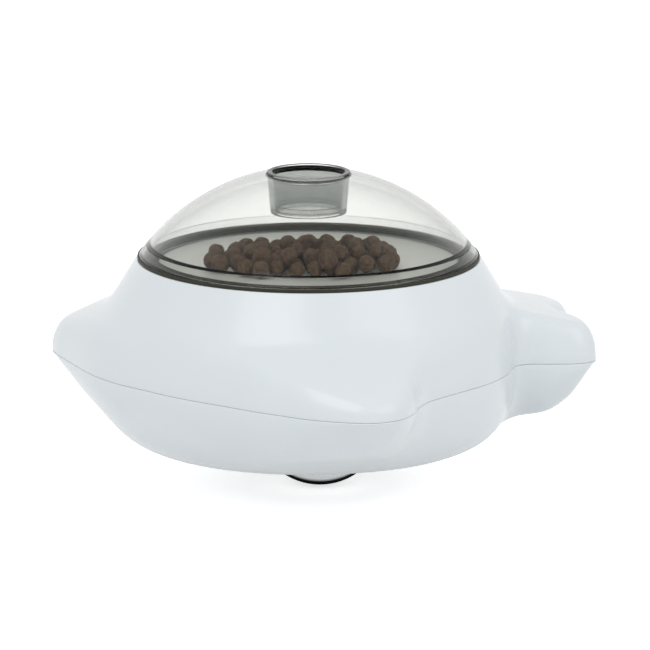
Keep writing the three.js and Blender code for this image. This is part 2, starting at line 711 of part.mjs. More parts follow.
function bearingCage() {
  const inner = ROLLER_RADIUS + CAGE_CLEARANCE;
  const outer = cupBore - CAGE_CLEARANCE;
  const [from, to] = [BEARING_TILT - CAGE_HALF_ANGLE, BEARING_TILT + CAGE_HALF_ANGLE];
  const section = [...arc(outer, from, to, 2, -ROLLER_DROP), ...arc(inner, to, from, 2, -ROLLER_DROP)];
  const tilt = degrees(BEARING_TILT);
  const pocket = ball(BEARING_BALL_RADIUS + 2 * GAP, BEARING_BALL_SEGMENTS, BEARING_BALL_RINGS - 1).translate([
    bearingReach * Math.sin(tilt),
    0,
    bearingReach * Math.cos(tilt) - ROLLER_DROP,
  ]);
  let cage = turned(section, HIDDEN_SEGMENTS);
  for (let i = 0; i < BEARING_BALLS; i++) {
    cage = cage.subtract(pocket.rotate([0, 0, (360 * i) / BEARING_BALLS]));
  }
  return cage;
}

function ballCup() {
  const mouth = -ROLLER_DROP - CUP_SKIRT;
  const shoulderAngle = THREE.MathUtils.radToDeg(Math.asin(SPRING_SEAT_RADIUS / cupRadius));
  const section = [
    [0, cupTop + CUP_BOSS_HEIGHT],
    [CUP_BOSS_RADIUS, cupTop + CUP_BOSS_HEIGHT],
    [CUP_BOSS_RADIUS, cupTop],
    [SPRING_SEAT_RADIUS, cupTop],
    ...arc(cupRadius, shoulderAngle, 90, 5, -ROLLER_DROP),
    [cupRadius, flangeBottom + CUP_FLANGE_HEIGHT],
    [flangeRadius, flangeBottom + CUP_FLANGE_HEIGHT],
    [flangeRadius, flangeBottom],
    [cupRadius, flangeBottom],
    [cupRadius, mouth],
    [cupBore, mouth],
    ...arc(cupBore, 90, 0, 9, -ROLLER_DROP),
  ];
  const socket = upright(ROD_RADIUS + GAP, rodBottom - GAP, cupTop + CUP_BOSS_HEIGHT + OVERRUN, ROD_SEGMENTS);
  return turned(section, CUP_SEGMENTS).subtract(socket);
}

function retainerRing() {
  const bore = ROLLER_RADIUS + ROLLER_CLEARANCE;
  const outer = cupBore - GAP;
  const angleAt = (drop) => 90 + THREE.MathUtils.radToDeg(Math.asin(drop / bore));
  const section = [
    [outer, -ROLLER_DROP - RETAINER_RISE],
    [outer, -ROLLER_DROP - CUP_SKIRT],
    ...arc(bore, angleAt(CUP_SKIRT), angleAt(RETAINER_RISE), 4, -ROLLER_DROP),
  ];
  return turned(section, CUP_SEGMENTS);
}

function pushRod() {
  const rod = upright(ROD_RADIUS, rodBottom, trayBossBottom - GAP, ROD_SEGMENTS);
  const holeBottom = trayFloorHeight - TRAY_SCREW_LENGTH - OVERRUN;
  return rod.subtract(upright(SCREW_SHANK_RADIUS + GAP, holeBottom, trayBossBottom + OVERRUN));
}

function guideBarrel() {
  const section = [
    [barrelBore, barrelBottom],
    [barrelRadius, barrelBottom],
    [barrelRadius, barrelTop],
    [barrelBore, barrelTop],
  ];
  const lug = upright(BARREL_LUG_RADIUS, barrelPostTop + GAP, barrelTop);
  const bore = upright(SCREW_SHANK_RADIUS + GAP, barrelPostTop - OVERRUN, barrelTop + OVERRUN);
  const keepOut = upright(BARREL_LUG_RADIUS + GAP, barrelBottom - OVERRUN, barrelPostTop + GAP);
  const core = upright(barrelBore, barrelBottom - OVERRUN, barrelTop + OVERRUN, HIDDEN_SEGMENTS);
  let barrel = turned(section, HIDDEN_SEGMENTS);
  around(lug, BARREL_LUGS, lugReach, BARREL_LUG_ANGLE).forEach((solid) => {
    barrel = barrel.add(solid.subtract(core));
  });
  [bore, keepOut].forEach((cutter) =>
    around(cutter, BARREL_LUGS, lugReach, BARREL_LUG_ANGLE).forEach((solid) => {
      barrel = barrel.subtract(solid);
    }),
  );
  return barrel;
}

function guideCap() {
  const section = [
    [ROD_RADIUS + SLIDE_GAP, capBottom],
    [barrelRadius, capBottom],
    [barrelRadius, capTop],
    [CAP_BUSH_RADIUS, capTop],
    [CAP_BUSH_RADIUS, capTop + CAP_BUSH_HEIGHT],
    [ROD_RADIUS + SLIDE_GAP, capTop + CAP_BUSH_HEIGHT],
  ];
  const ear = upright(BARREL_LUG_RADIUS, capBottom, capTop);
  const hole = upright(SCREW_SHANK_RADIUS + GAP, capBottom - OVERRUN, capTop + OVERRUN);
  let cap = turned(section, HIDDEN_SEGMENTS);
  around(ear, BARREL_LUGS, lugReach, BARREL_LUG_ANGLE).forEach((solid) => {
    cap = cap.add(solid);
  });
  around(hole, BARREL_LUGS, lugReach, BARREL_LUG_ANGLE).forEach((solid) => {
    cap = cap.subtract(solid);
  });
  return cap;
}

// A screw that points down from the top of the cap
function capScrew() {
  return screw(0, SHORT_SCREW_LENGTH).rotate([180, 0, 0]).translate([0, 0, capTop + GAP]);
}

function traySolid() {
  const slope = Math.atan2(TRAY_DEPTH, TRAY_SLOPE_RUN);
  const dish = turned([
    [0, trayFloorHeight],
    [trayFloorRadius, trayFloorHeight],
    [trayRimRadius - TRAY_WALL, trayRimHeight],
    [trayRimRadius, trayRimHeight],
    [trayRimRadius, trayRimHeight - TRAY_WALL],
    [trayFloorRadius + TRAY_WALL * Math.tan(slope / 2), trayUnderside],
    [0, trayUnderside],
  ]);
  const boss = upright(TRAY_BOSS_RADIUS, trayBossBottom, trayUnderside + TRAY_WALL / 2, ROD_SEGMENTS);
  const bore = upright(SCREW_SHANK_RADIUS + GAP, trayBossBottom - OVERRUN, trayFloorHeight + OVERRUN);
  const place = [ROLLER_OFFSET, 0, 0];
  return dish.add(boss.translate(place)).subtract(bore.translate(place));
}

function trayScrew() {
  return screw(0, TRAY_SCREW_LENGTH).rotate([180, 0, 0]).translate([0, 0, trayFloorHeight + GAP]);
}

class Coil extends THREE.Curve {
  getPoint(share, target = new THREE.Vector3()) {
    const angle = 2 * Math.PI * SPRING_TURNS * share;
    const rise = springLength - 2 * SPRING_WIRE_RADIUS;
    return target.set(
      SPRING_RADIUS * Math.cos(angle),
      SPRING_RADIUS * Math.sin(angle),
      springSeat + SPRING_WIRE_RADIUS + rise * share,
    );
  }
}

function returnSpring() {
  const wire = new THREE.Shape();
  for (let i = 0; i < SPRING_SIDES; i++) {
    const angle = (2 * Math.PI * i) / SPRING_SIDES;
    wire[i ? "lineTo" : "moveTo"](SPRING_WIRE_RADIUS * Math.cos(angle), SPRING_WIRE_RADIUS * Math.sin(angle));
  }
  wire.closePath();
  const settings = { extrudePath: new Coil(), steps: SPRING_TURNS * SPRING_STEPS, bevelEnabled: false };
  return toSolid(new THREE.ExtrudeGeometry(wire, settings));
}

// Height of the mound's face above the tray's floor: a cone whose peak stands off the middle
function moundHeight(x, y) {
  const foot = moundFoot(Math.atan2(y - HEAP_PEAK_Y, x - HEAP_PEAK_X));
  const outward = Math.hypot(x - HEAP_PEAK_X, y - HEAP_PEAK_Y) / foot;
  return outward > 1 ? 0 : HEAP_HEIGHT + (HEAP_EDGE_HEIGHT - HEAP_HEIGHT) * outward;
}

// How far the mound's foot, an oval about the tray, lies from the peak in a direction
function moundFoot(angle) {
  const middle = (HEAP_RIGHT_REACH - HEAP_LEFT_REACH) / 2;
  const half = (HEAP_RIGHT_REACH + HEAP_LEFT_REACH) / 2;
  const [px, py] = [(HEAP_PEAK_X - middle) / half, HEAP_PEAK_Y / HEAP_DEPTH_REACH];
  const [dx, dy] = [Math.cos(angle) / half, Math.sin(angle) / HEAP_DEPTH_REACH];
  const [a, b, c] = [dx * dx + dy * dy, px * dx + py * dy, px * px + py * py - 1];
  return (Math.sqrt(b * b - a * c) - b) / a;
}

// Treats: round chunks half sunk in a mound, turned by a fixed pattern so that no two look alike
function treatHeap() {
  const floor = trayFloorHeight + GAP;
  const peak = new THREE.Vector3(HEAP_PEAK_X, HEAP_PEAK_Y, 0);
  const rings = Array.from({ length: HEAP_RINGS }, (_, ring) =>
    Array.from({ length: HIDDEN_SEGMENTS }, (_, i) => {
      const angle = (2 * Math.PI * i) / HIDDEN_SEGMENTS;
      const outward = 1 - ring / (HEAP_RINGS - 1);
      const point = new THREE.Vector3(Math.cos(angle), Math.sin(angle), 0)
        .multiplyScalar(moundFoot(angle) * outward)
        .add(peak);
      return point.setZ(floor + HEAP_HEIGHT + (HEAP_EDGE_HEIGHT - HEAP_HEIGHT) * outward);
    }),
  );
  const foot = rings[0].map((p) => p.clone().setZ(floor));
  const underPeak = foot.map(() => peak.clone().setZ(floor));
  let heap = band([underPeak, foot, ...rings]);
  const head = upright(SCREW_HEAD_RADIUS + GAP, floor - OVERRUN, floor + SCREW_HEAD_HEIGHT + GAP);
  heap = heap.subtract(head.translate([ROLLER_OFFSET, 0, 0]));
  const chunk = toSolid(new THREE.IcosahedronGeometry(CHUNK_RADIUS, 0));
  const steps = Math.ceil(HEAP_LEFT_REACH / CHUNK_PITCH);
  for (let row = -steps; row <= steps; row++) {
    for (let column = -steps; column <= steps; column++) {
      const x = (column + (row % 2 ? 1 / 2 : 0)) * CHUNK_PITCH;
      const y = row * CHUNK_PITCH * Math.sin(Math.PI / 3);
      const height = moundHeight(x, y);
      if (height === 0) continue;
      const turn = 37 * row + 53 * column;
      const middle = floor + Math.max(height - CHUNK_SINK, CHUNK_RADIUS);
      heap = heap.add(chunk.rotate([turn, 2 * turn, 0]).translate([x, y, middle]));
    }
  }
  return heap;
}

const outline = seamOutline();
const low = new THREE.Vector3(Math.min(...outline.map((p) => p.x)), Math.min(...outline.map((p) => p.y)), 0);
const high = new THREE.Vector3(Math.max(...outline.map((p) => p.x)), Math.max(...outline.map((p) => p.y)), 0);
const planCentre = low.add(high).divideScalar(2);

const toy = new THREE.Group();
toy.position.set(-planCentre.x, -planCentre.y, seamHeight);

toy.add(piece("upper_shell", upperShell(outline), "shell"));
toy.add(piece("lower_shell", lowerShell(outline), "shell"));
toy.add(piece("dome_gasket", gasket(), "rubber"));
toy.add(piece("dome", dome(), "smoked"));
toy.add(piece("dome_ring", domeRing(), "smoked"));
toy.add(piece("filler_tube", fillerTube(), "smoked"));
toy.add(piece("tube_end_ring", tubeEndRing(), "smoked"));
toy.add(piece("launch_tray", traySolid(), "tray"));
toy.add(piece("treats", treatHeap(), "treat"));
shellScrewPlaces().forEach((place, i) => {
  const mesh = piece(`shell_screw_${i + 1}`, screw(shellScrewSeat, SHELL_SCREW_LENGTH), "steel");
  mesh.position.set(...place);
  toy.add(mesh);
});

const roller = new THREE.Group();
roller.position.x = ROLLER_OFFSET;
toy.add(roller);
roller.add(piece("roller_ball", rollerBall(), "steel"));
roller.add(piece("bearing_cage", bearingCage(), "plastic"));
roller.add(piece("ball_cup", ballCup(), "plastic"));
roller.add(piece("retainer_ring", retainerRing(), "plastic"));
roller.add(piece("push_rod", pushRod(), "steel"));
roller.add(piece("guide_barrel", guideBarrel(), "plastic"));
roller.add(piece("guide_cap", guideCap(), "plastic"));
roller.add(piece("return_spring", returnSpring(), "steel"));
roller.add(piece("tray_screw", trayScrew(), "steel"));
for (let i = 0; i < BEARING_BALLS; i++) {
  const mesh = piece(`bearing_ball_${i + 1}`, bearingBall(), "steel");
  mesh.rotation.z = (2 * Math.PI * i) / BEARING_BALLS;
  roller.add(mesh);
}
for (let i = 0; i < BARREL_LUGS; i++) {
  const angle = degrees(BARREL_LUG_ANGLE) + (2 * Math.PI * i) / BARREL_LUGS;
  const place = [lugReach * Math.cos(angle), lugReach * Math.sin(angle), 0];
  const top = piece(`cap_screw_${i + 1}`, capScrew(), "steel");
  const foot = piece(`barrel_screw_${i + 1}`, screw(barrelScrewSeat, SHORT_SCREW_LENGTH), "steel");
  top.position.set(...place);
  foot.position.set(...place);
  roller.add(top, foot);
}

export default toy;
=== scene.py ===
"""Looks of the treat launcher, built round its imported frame.

Lengths in the constants are millimetres about the dome's axis with z = 0 on the seam, as in the part's
own source, unless they say metres. They become metres in the row frame when a mesh is made.
"""

import json
import math

import bmesh
import bpy
import numpy as np
from bpy.props import FloatProperty, FloatVectorProperty, IntProperty, PointerProperty
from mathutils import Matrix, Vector


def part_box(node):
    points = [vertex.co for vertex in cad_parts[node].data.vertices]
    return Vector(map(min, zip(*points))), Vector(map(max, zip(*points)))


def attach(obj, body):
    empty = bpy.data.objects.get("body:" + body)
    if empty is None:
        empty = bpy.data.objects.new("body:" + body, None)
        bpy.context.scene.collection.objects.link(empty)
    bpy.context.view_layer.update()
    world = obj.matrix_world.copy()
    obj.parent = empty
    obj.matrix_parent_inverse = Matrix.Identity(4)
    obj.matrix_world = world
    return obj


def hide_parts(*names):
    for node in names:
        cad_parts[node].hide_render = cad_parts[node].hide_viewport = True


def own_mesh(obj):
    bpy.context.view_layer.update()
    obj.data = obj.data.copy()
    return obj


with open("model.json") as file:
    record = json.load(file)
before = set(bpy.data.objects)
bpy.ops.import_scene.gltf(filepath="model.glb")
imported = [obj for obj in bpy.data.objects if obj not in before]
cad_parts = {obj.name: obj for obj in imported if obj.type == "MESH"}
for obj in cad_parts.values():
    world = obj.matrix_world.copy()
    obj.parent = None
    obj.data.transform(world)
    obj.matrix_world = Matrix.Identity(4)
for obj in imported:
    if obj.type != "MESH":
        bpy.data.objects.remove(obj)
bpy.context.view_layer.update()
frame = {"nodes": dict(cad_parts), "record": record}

bl_info = {
    "name": "Treat launcher",
    "version": (1, 0, 0),
    "blender": (4, 5, 0),
    "location": "3D View > Sidebar > Launcher",
    "description": "Builds the pieces, finishes and stage of a treat launcher",
    "category": "Object",
}

MILLIMETRE = 0.001

# Round body, as in the part's source
BODY_RADIUS = 95.3
BODY_CENTRE_DROP = 6.1
BOTTOM_DEPTH = 37.5
BOTTOM_FILLET = 27
WALL_DRAFT = 7
SHELL_WALL = 2.2
GAP = 0.3
SEEN_GAP = 0.08  # the same where a moulded joint shows as a hairline
SLIDE_GAP = 0.5

# Limbs, as in the part's source
NOSE_REACH = 120.4
FRONT_FIN_REACH = 131.4
BACK_FIN_REACH = 114
TAIL_REACH = 131.8
TAIL_TOP = 16
NOSE_TOP = 13
FRONT_FIN_TOP = 8
BACK_FIN_TOP = 8
LIMB_ROOT_TOP = 24
LIMB_TOP_EDGE = 8
LIMB_KEEL = 27
TAIL_KEEL_RUN = 27
NOSE_KEEL_RUN = 40
FRONT_FIN_KEEL_RUN = 40
BACK_FIN_KEEL_RUN = 40
LIMB_KEEL_EDGE = 16
LIMB_FILLET = 18
KEEL_FILLET = 12
TOP_ROUNDNESS = 2.2
KEEL_ROUNDNESS = 1.4
KEEL_EDGE_ROUNDNESS = 1.8

# Dome, ring, gasket and tube, as in the part's source
LEDGE_WIDTH = 7.4
LEDGE_THICKNESS = 2.4
GASKET_HEIGHT = 1
GASKET_INSET = 0.5
GASKET_LIP_WALL = 0.8
GASKET_LIP_DROP = 1.2
DOME_RING_HEIGHT = 4.2
DOME_WALL = 2.5
TUBE_TOP_RADIUS = 18.8
TUBE_END_RADIUS = 17.3
TUBE_WALL = 2.2
TUBE_LENGTH = 18.4
TUBE_LIP = 0.9
END_RING_BORE = 14
END_RING_PLATE = 1.4
END_RING_COLLAR = 2.4

# Ball, cup, guide and tray, as in the part's source
ROLLER_RADIUS = 30.3
ROLLER_DROP = 27.4
ROLLER_OFFSET = 5.1
BEARING_BALL_RADIUS = 2.4
BEARING_CLEARANCE = 0.5
CUP_WALL = 2.5
CUP_SKIRT = 16.8
CUP_FLANGE = 2.6
CUP_FLANGE_HEIGHT = 2.4
RETAINER_RISE = 4
ROLLER_CLEARANCE = 0.5
TRAVEL = 6
ROD_RADIUS = 4
ROD_SOCKET_DEPTH = 4
CUP_BOSS_RADIUS = 8
CUP_BOSS_HEIGHT = 5
SPRING_RADIUS = 12
SPRING_WIRE_RADIUS = 0.8
SPRING_TURNS = 4
SPRING_SEAT_RADIUS = 15
SPRING_CLOSED_LENGTH = 10
BARREL_LUG_RADIUS = 4.2
BARREL_LUGS = 3
BARREL_LUG_ANGLE = 60
CAP_THICKNESS = 2.6
CAP_BUSH_HEIGHT = 3
TRAY_WALL = 1.8
TRAY_CLEARANCE = 2.8
TRAY_SLOPE_RUN = 20
TRAY_RIM_DROP = 1.6
TRAY_DEPTH = 3
TRAY_BOSS_RADIUS = 7
TRAY_BOSS_HEIGHT = 8.2
SCREW_SHANK_RADIUS = 1.5
SCREW_HEAD_RADIUS = 3
SCREW_HEAD_HEIGHT = 2
SHELL_SCREW_LENGTH = 42
TRAY_SCREW_LENGTH = 18
SHORT_SCREW_LENGTH = 10
POST_RADIUS = 4.6
POST_INSET = 2.4
POST_FLOOR = 4
SHELL_SCREW_ANGLES = [50, 130, 227, 322]

# Each limb's outline: degrees round the dome's axis, and the share of the limb's reach there
TAIL_OUTLINE_SHARES = [
    (352, 0), (354.9, 0.12), (355.8, 0.48), (356.8, 0.8), (359, 0.955), (362, 1), (366.5, 0.95),
    (370.3, 0.82), (373.6, 0.7), (377, 0.82), (381, 0.95), (385.5, 1), (390, 0.93), (393.5, 0.7),
    (396, 0.36), (400, 0.09), (407, 0),
]
BACK_FIN_OUTLINE_SHARES = [
    (418, 0), (428, 0.05), (434, 0.3), (439, 0.75), (444, 0.98), (450, 0.97), (458, 0.7), (468, 0.36),
    (480, 0.14), (494, 0.04),
]
NOSE_OUTLINE_SHARES = [
    (506, 0.08), (515, 0.4), (522, 0.82), (528, 1), (533, 0.86), (538.5, 0.66), (545, 0.49), (553, 0.36),
    (562, 0.25), (571, 0.15), (580, 0.06),
]
FRONT_FIN_OUTLINE_SHARES = [
    (590, 0.05), (600, 0.1), (609, 0.19), (617, 0.35), (624, 0.52), (630, 0.71), (636, 0.87), (641, 0.98),
    (645, 0.99), (649, 0.9), (653, 0.68), (657, 0.4), (662, 0.18), (669, 0.06), (678, 0), (690, 0), (701, 0),
]


def sphere_height(radius, reach):
    """Height above the seam of a sphere about the body's centre, at a distance from the dome's axis"""
    return np.sqrt(np.maximum(radius * radius - np.square(reach), 0)) - BODY_CENTRE_DROP


def sphere_reach(radius, height):
    return math.sqrt(radius * radius - (height + BODY_CENTRE_DROP) ** 2)


SEAM_RADIUS = sphere_reach(BODY_RADIUS, 0)
BEARING_REACH = ROLLER_RADIUS + GAP + BEARING_BALL_RADIUS
CUP_BORE = BEARING_REACH + BEARING_BALL_RADIUS + BEARING_CLEARANCE
CUP_RADIUS = CUP_BORE + CUP_WALL
CUP_TOP = CUP_RADIUS - ROLLER_DROP
FLANGE_RADIUS = CUP_RADIUS + CUP_FLANGE
FLANGE_BOTTOM = -BOTTOM_DEPTH + SHELL_WALL + GAP
LUG_REACH = FLANGE_RADIUS + SLIDE_GAP + BARREL_LUG_RADIUS
SPRING_SEAT = CUP_TOP + GAP
SPRING_LENGTH = SPRING_CLOSED_LENGTH + TRAVEL
CAP_TOP = SPRING_SEAT + SPRING_LENGTH + GAP + CAP_THICKNESS
TRAY_BOSS_BOTTOM = CAP_TOP + CAP_BUSH_HEIGHT + GAP
TRAY_UNDERSIDE = TRAY_BOSS_BOTTOM + TRAY_BOSS_HEIGHT
TRAY_FLOOR_HEIGHT = TRAY_UNDERSIDE + TRAY_WALL
TRAY_RIM_HEIGHT = TRAY_FLOOR_HEIGHT + TRAY_DEPTH
RIM_HEIGHT = TRAY_RIM_HEIGHT + TRAY_RIM_DROP
RIM_RADIUS = sphere_reach(BODY_RADIUS, RIM_HEIGHT)
LEDGE_INNER_RADIUS = RIM_RADIUS - LEDGE_WIDTH
TRAY_RIM_RADIUS = LEDGE_INNER_RADIUS - TRAY_CLEARANCE
TRAY_FLOOR_RADIUS = TRAY_RIM_RADIUS - TRAY_SLOPE_RUN
POST_REACH = RIM_RADIUS - POST_INSET
GASKET_TOP = RIM_HEIGHT + GAP + GASKET_HEIGHT
RING_BOTTOM = GASKET_TOP + GAP
RING_TOP = RING_BOTTOM + DOME_RING_HEIGHT
DOME_BOTTOM = RING_TOP + GAP
DOME_HOLE_RADIUS = TUBE_TOP_RADIUS + GAP
TUBE_TOP = float(sphere_height(BODY_RADIUS, TUBE_TOP_RADIUS)) + TUBE_LIP
END_RING_BOTTOM = TUBE_TOP - TUBE_LIP - TUBE_LENGTH
TUBE_BOTTOM = END_RING_BOTTOM + END_RING_PLATE + GAP
SCREW_SEAT = -BOTTOM_DEPTH + POST_FLOOR + SCREW_HEAD_HEIGHT
BARREL_POST_TOP = SCREW_SEAT + POST_FLOOR

# Reach, tip height, keel run and outline of each limb
LIMBS = [
    (TAIL_REACH, TAIL_TOP, TAIL_KEEL_RUN, TAIL_OUTLINE_SHARES),
    (BACK_FIN_REACH, BACK_FIN_TOP, BACK_FIN_KEEL_RUN, BACK_FIN_OUTLINE_SHARES),
    (NOSE_REACH, NOSE_TOP, NOSE_KEEL_RUN, NOSE_OUTLINE_SHARES),
    (FRONT_FIN_REACH, FRONT_FIN_TOP, FRONT_FIN_KEEL_RUN, FRONT_FIN_OUTLINE_SHARES),
]

# The dome's axis at the seam, in metres in the row frame, from the dome ring's box. The ball stands on
# the floor, with its axis to the side of the dome's.
RING_LOW, RING_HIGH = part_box("dome_ring")
RING_MIDDLE = (RING_LOW + RING_HIGH) / 2
AXIS = np.array([RING_MIDDLE.x, RING_MIDDLE.y, RING_LOW.z - RING_BOTTOM * MILLIMETRE])
ROLLER_AXIS = AXIS + np.array([ROLLER_OFFSET * MILLIMETRE, 0, 0])
ROD_PLACE = (ROLLER_OFFSET, 0, 0)
BALL_RADIUS = AXIS[2] / MILLIMETRE - ROLLER_DROP

# Edges and fineness of the pieces
WELD_DISTANCE = 1e-6  # metres
ON_AXIS = 1e-9  # a shorter reach or edge counts as none
SHARP_ANGLE = 40  # degrees between two faces whose edge stays sharp
SHELL_SHARP_ANGLE = 50
SHALLOW_CORNER = 140  # degrees, above which a corner isn't rounded
CORNER_STEPS = 4
CORNER_CUT = 0.4  # most of an edge that one rounding takes
CORNER_SUPPORT = 0.3  # share of the rounding's radius
SUPPORT_LIMIT = 0.05  # share of the edge
MOULDED_EDGE = 0.25
TURNED_EDGE = 0.3
DISH_EDGE = 0.5
PIN_SEGMENTS = 32
DOME_ARC_STEPS = 48
BALL_ARC_STEPS = 96
CUP_BORE_STEPS = 32
CUP_OUTSIDE_STEPS = 24
RETAINER_STEPS = 12
RING_LEVELS = 4
SCREW_HEAD_SIDES = 40
SCREW_SHANK_SIDES = 24
OVERSHOOT = 1  # how far a cutter stands out of what it cuts

# Net of points that a shell's skin is drawn on
OUTLINE_STEPS = 8  # points of the outline from one given point to the next
NET_RINGS = 40
NET_COARSENESS = 4  # points of the outline to one point of the coarse net
ANGLE_PASSES = 60
COARSE_PASSES = 300
FINE_PASSES = 80
NORMAL_PASSES = 3
LEAST_LENGTH = 1e-12  # keeps a normal of no length from a division by zero
RELAX_KEPT = 0.3
RELAX_MOVED = 0.7
SKIN_RINGS = 44
SKIN_CROWDING = 1.6  # above 1, the rings crowd towards the seam
SKIN_INSET = 0.2  # keeps the smooth skin inside the box of the solids
RIDGE_PASSES = 14
RIDGE_START = 0.06  # share of the way inwards, as the next two
RIDGE_FADE_IN = 0.1
RIDGE_FADE_OUT = 0.15
LIP_ANGLES = (90, 60, 30)
RIM_EASE = 0.1
LEDGE_BEVEL = 0.3
POST_TOP = -3 * SHELL_WALL

MARKS_RANGE = (0.35, 0.7)  # of the noise, from clean to worn

# Heap of treats: middle and half axes of each layer in plan, and the height of its face above the tray
LOWER_LAYER = ((-3, 1), (43, 32))
UPPER_LAYER = ((6, -7), (39, 20))
LOWER_LAYER_FACE = 9
UPPER_LAYER_FACE = 15.4
MOST_TREATS = 150
DROPS = 500  # places tried for each treat
DROP_REACH = 46
NUDGES = 40  # places tried round the best one, at each of these steps
NUDGE_STEPS = (1.2, 0.6, 0.3, 0.15)
SMALLEST_TREAT = 0.84  # shares of the treat's size
LARGEST_TREAT = 1.1
TREAT_LUMPS = 0.0011  # metres

# Cross recess of a screw: length and width as shares of the head's radius, each bar's middle in half heads
RECESS_LENGTH = 1.2
RECESS_WIDTH = 0.26
RECESS_DROPS = (-2.2, -2.1)

# Stage, in metres and watts
LIP_FADE_START = 0.0022  # below the tube's top
LIP_FADE_END = 0.0014
SOFT_COLOUR = (0.97, 0.99, 1.0, 1)
SOFT_STRENGTH = 0.72
FLOOR_REACH = 6
FLOOR_GLOW = 0.7
MIRRORED_SHARE = 0.5  # of that glow, in what the object mirrors
PALE_GROUND = (0.9, 0.9, 0.9, 1)
# Painted shadow on the floor that only reflections see: its colour, how far its middle lies behind the
# ball's, and its edge
PAINTED_SHADOW_COLOUR = (0.03, 0.03, 0.03, 1)
PAINTED_SHADOW_SHIFT = 0.014  # its middle behind the ball's
PAINTED_SHADOW_EDGE = (0.0255, 0.029)
LAMPS = [("key", (-0.9, -1.6, 2.2), 14), ("fill", (1.6, -1.2, 1.4), 7)]
LAMP_SIZE = 1.6
LAMP_AIM_HEIGHT = 0.07
CAMERA_TARGET = (0.0005, 0.0072, 0.0740)
CAMERA_DISTANCE = 4.0
CAMERA_ELEVATION = 12.4  # degrees
CAMERA_LENS = 485.7  # millimetres, as the next
CAMERA_SENSOR = 36
CAMERA_CLIP_END = 30


def colour_property(name, description, default):
    return FloatVectorProperty(
        name=name, description=description, subtype="COLOR", size=4, min=0, max=1, default=default
    )


class LauncherShape(bpy.types.PropertyGroup):
    seam_lip: FloatProperty(
        name="Seam lip", description="Rounding of the shells' edges at the seam", default=0.00045,
        unit="LENGTH",
    )
    turns: IntProperty(
        name="Round segments", description="Segments round a turned piece", default=160, min=24, max=256
    )
    treat_size: FloatProperty(
        name="Treat size", description="Diameter of one treat", default=0.0081, unit="LENGTH"
    )
    treat_seed: IntProperty(
        name="Treat seed", description="Seed of the heap's random order", default=7, min=0
    )


class LauncherFinish(bpy.types.PropertyGroup):
    shell: colour_property("Shell", "Colour of the moulded shells", (0.77, 0.81, 0.83, 1))
    smoke: colour_property("Smoke", "Tint of the clear plastic", (0.42, 0.44, 0.4, 1))
    smoke_density: FloatProperty(
        name="Smoke density", description="How much light the clear plastic takes up in a metre",
        default=75.0, min=0,
    )
    ring_density: FloatProperty(
        name="Foot ring density", description="The same for the dome's foot ring", default=220.0, min=0
    )
    tube: colour_property("Tube", "Grey of the frosted tube", (0.52, 0.54, 0.53, 1))
    treat: colour_property("Treat", "Colour of the baked treats", (0.11, 0.066, 0.036, 1))


def to_row(points, centre):
    """Millimetres about an upright axis, as metres in the row frame"""
    return np.asarray(points, float) * MILLIMETRE + centre


def shade_smooth(mesh, sharp_angle=SHARP_ANGLE):
    mesh.polygons.foreach_set("use_smooth", [True] * len(mesh.polygons))
    mesh.set_sharp_from_angle(angle=math.radians(sharp_angle))


def new_object(name, vertices, faces, sharp_angle=SHARP_ANGLE):
    """A smooth piece with its faces outwards"""
    mesh = bpy.data.meshes.new(name)
    mesh.from_pydata([tuple(v) for v in vertices], [], faces)
    mesh.update()
    tidy = bmesh.new()
    tidy.from_mesh(mesh)
    bmesh.ops.remove_doubles(tidy, verts=tidy.verts, dist=WELD_DISTANCE)
    bmesh.ops.recalc_face_normals(tidy, faces=tidy.faces)
    tidy.to_mesh(mesh)
    tidy.free()
    shade_smooth(mesh, sharp_angle)
    obj = bpy.data.objects.new(name, mesh)
    bpy.context.scene.collection.objects.link(obj)
    return obj


def apply_modifiers(obj):
    """Turns the result of an object's modifiers into its plain mesh"""
    bpy.context.view_layer.update()
    made = bpy.data.meshes.new_from_object(obj.evaluated_get(bpy.context.evaluated_depsgraph_get()))
    obj.modifiers.clear()
    old = obj.data
    obj.data = made
    made.name = obj.name
    bpy.data.meshes.remove(old)


def arc(radius, start, end, steps, height=0.0):
    """Points of a circle about the axis in a half section: angles in degrees from straight up"""
    angles = np.radians(np.linspace(start, end, steps + 1))
    return [(radius * math.sin(a), height + radius * math.cos(a)) for a in angles]


def rounded(section, radius):
    """The same closed half section with rounded corners. One on the axis and a shallow one stay."""
    result = []
    for i, corner in enumerate(section):
        here = np.array(corner, float)
        a = np.array(section[i - 1], float) - here
        b = np.array(section[(i + 1) % len(section)], float) - here
        la, lb = np.linalg.norm(a), np.linalg.norm(b)
        if min(here[0], la, lb) < ON_AXIS:
            result.append(tuple(here))
            continue
        a, b = a / la, b / lb
        angle = math.acos(float(np.clip(np.dot(a, b), -1, 1)))
        if angle > math.radians(SHALLOW_CORNER):
            result.append(tuple(here))
            continue
        cut = min(radius / math.tan(angle / 2), CORNER_CUT * la, CORNER_CUT * lb)
        start, end = here + a * cut, here + b * cut
        # a point on each side, close to the rounding, keeps the flats flat
        support = min(CORNER_SUPPORT * radius, SUPPORT_LIMIT * la, SUPPORT_LIMIT * lb)
        result.append(tuple(here + a * (cut + support)))
        w = math.sin(angle / 2)
        for step in range(CORNER_STEPS + 1):
            # a circle's arc between the two cuts, by way of the corner
            t = step / CORNER_STEPS
            weights = np.array([(1 - t) ** 2, 2 * t * (1 - t) * w, t * t])
            point = weights[0] * start + weights[1] * here + weights[2] * end
            result.append(tuple(point / weights.sum()))
        result.append(tuple(here + b * (cut + support)))
    return result


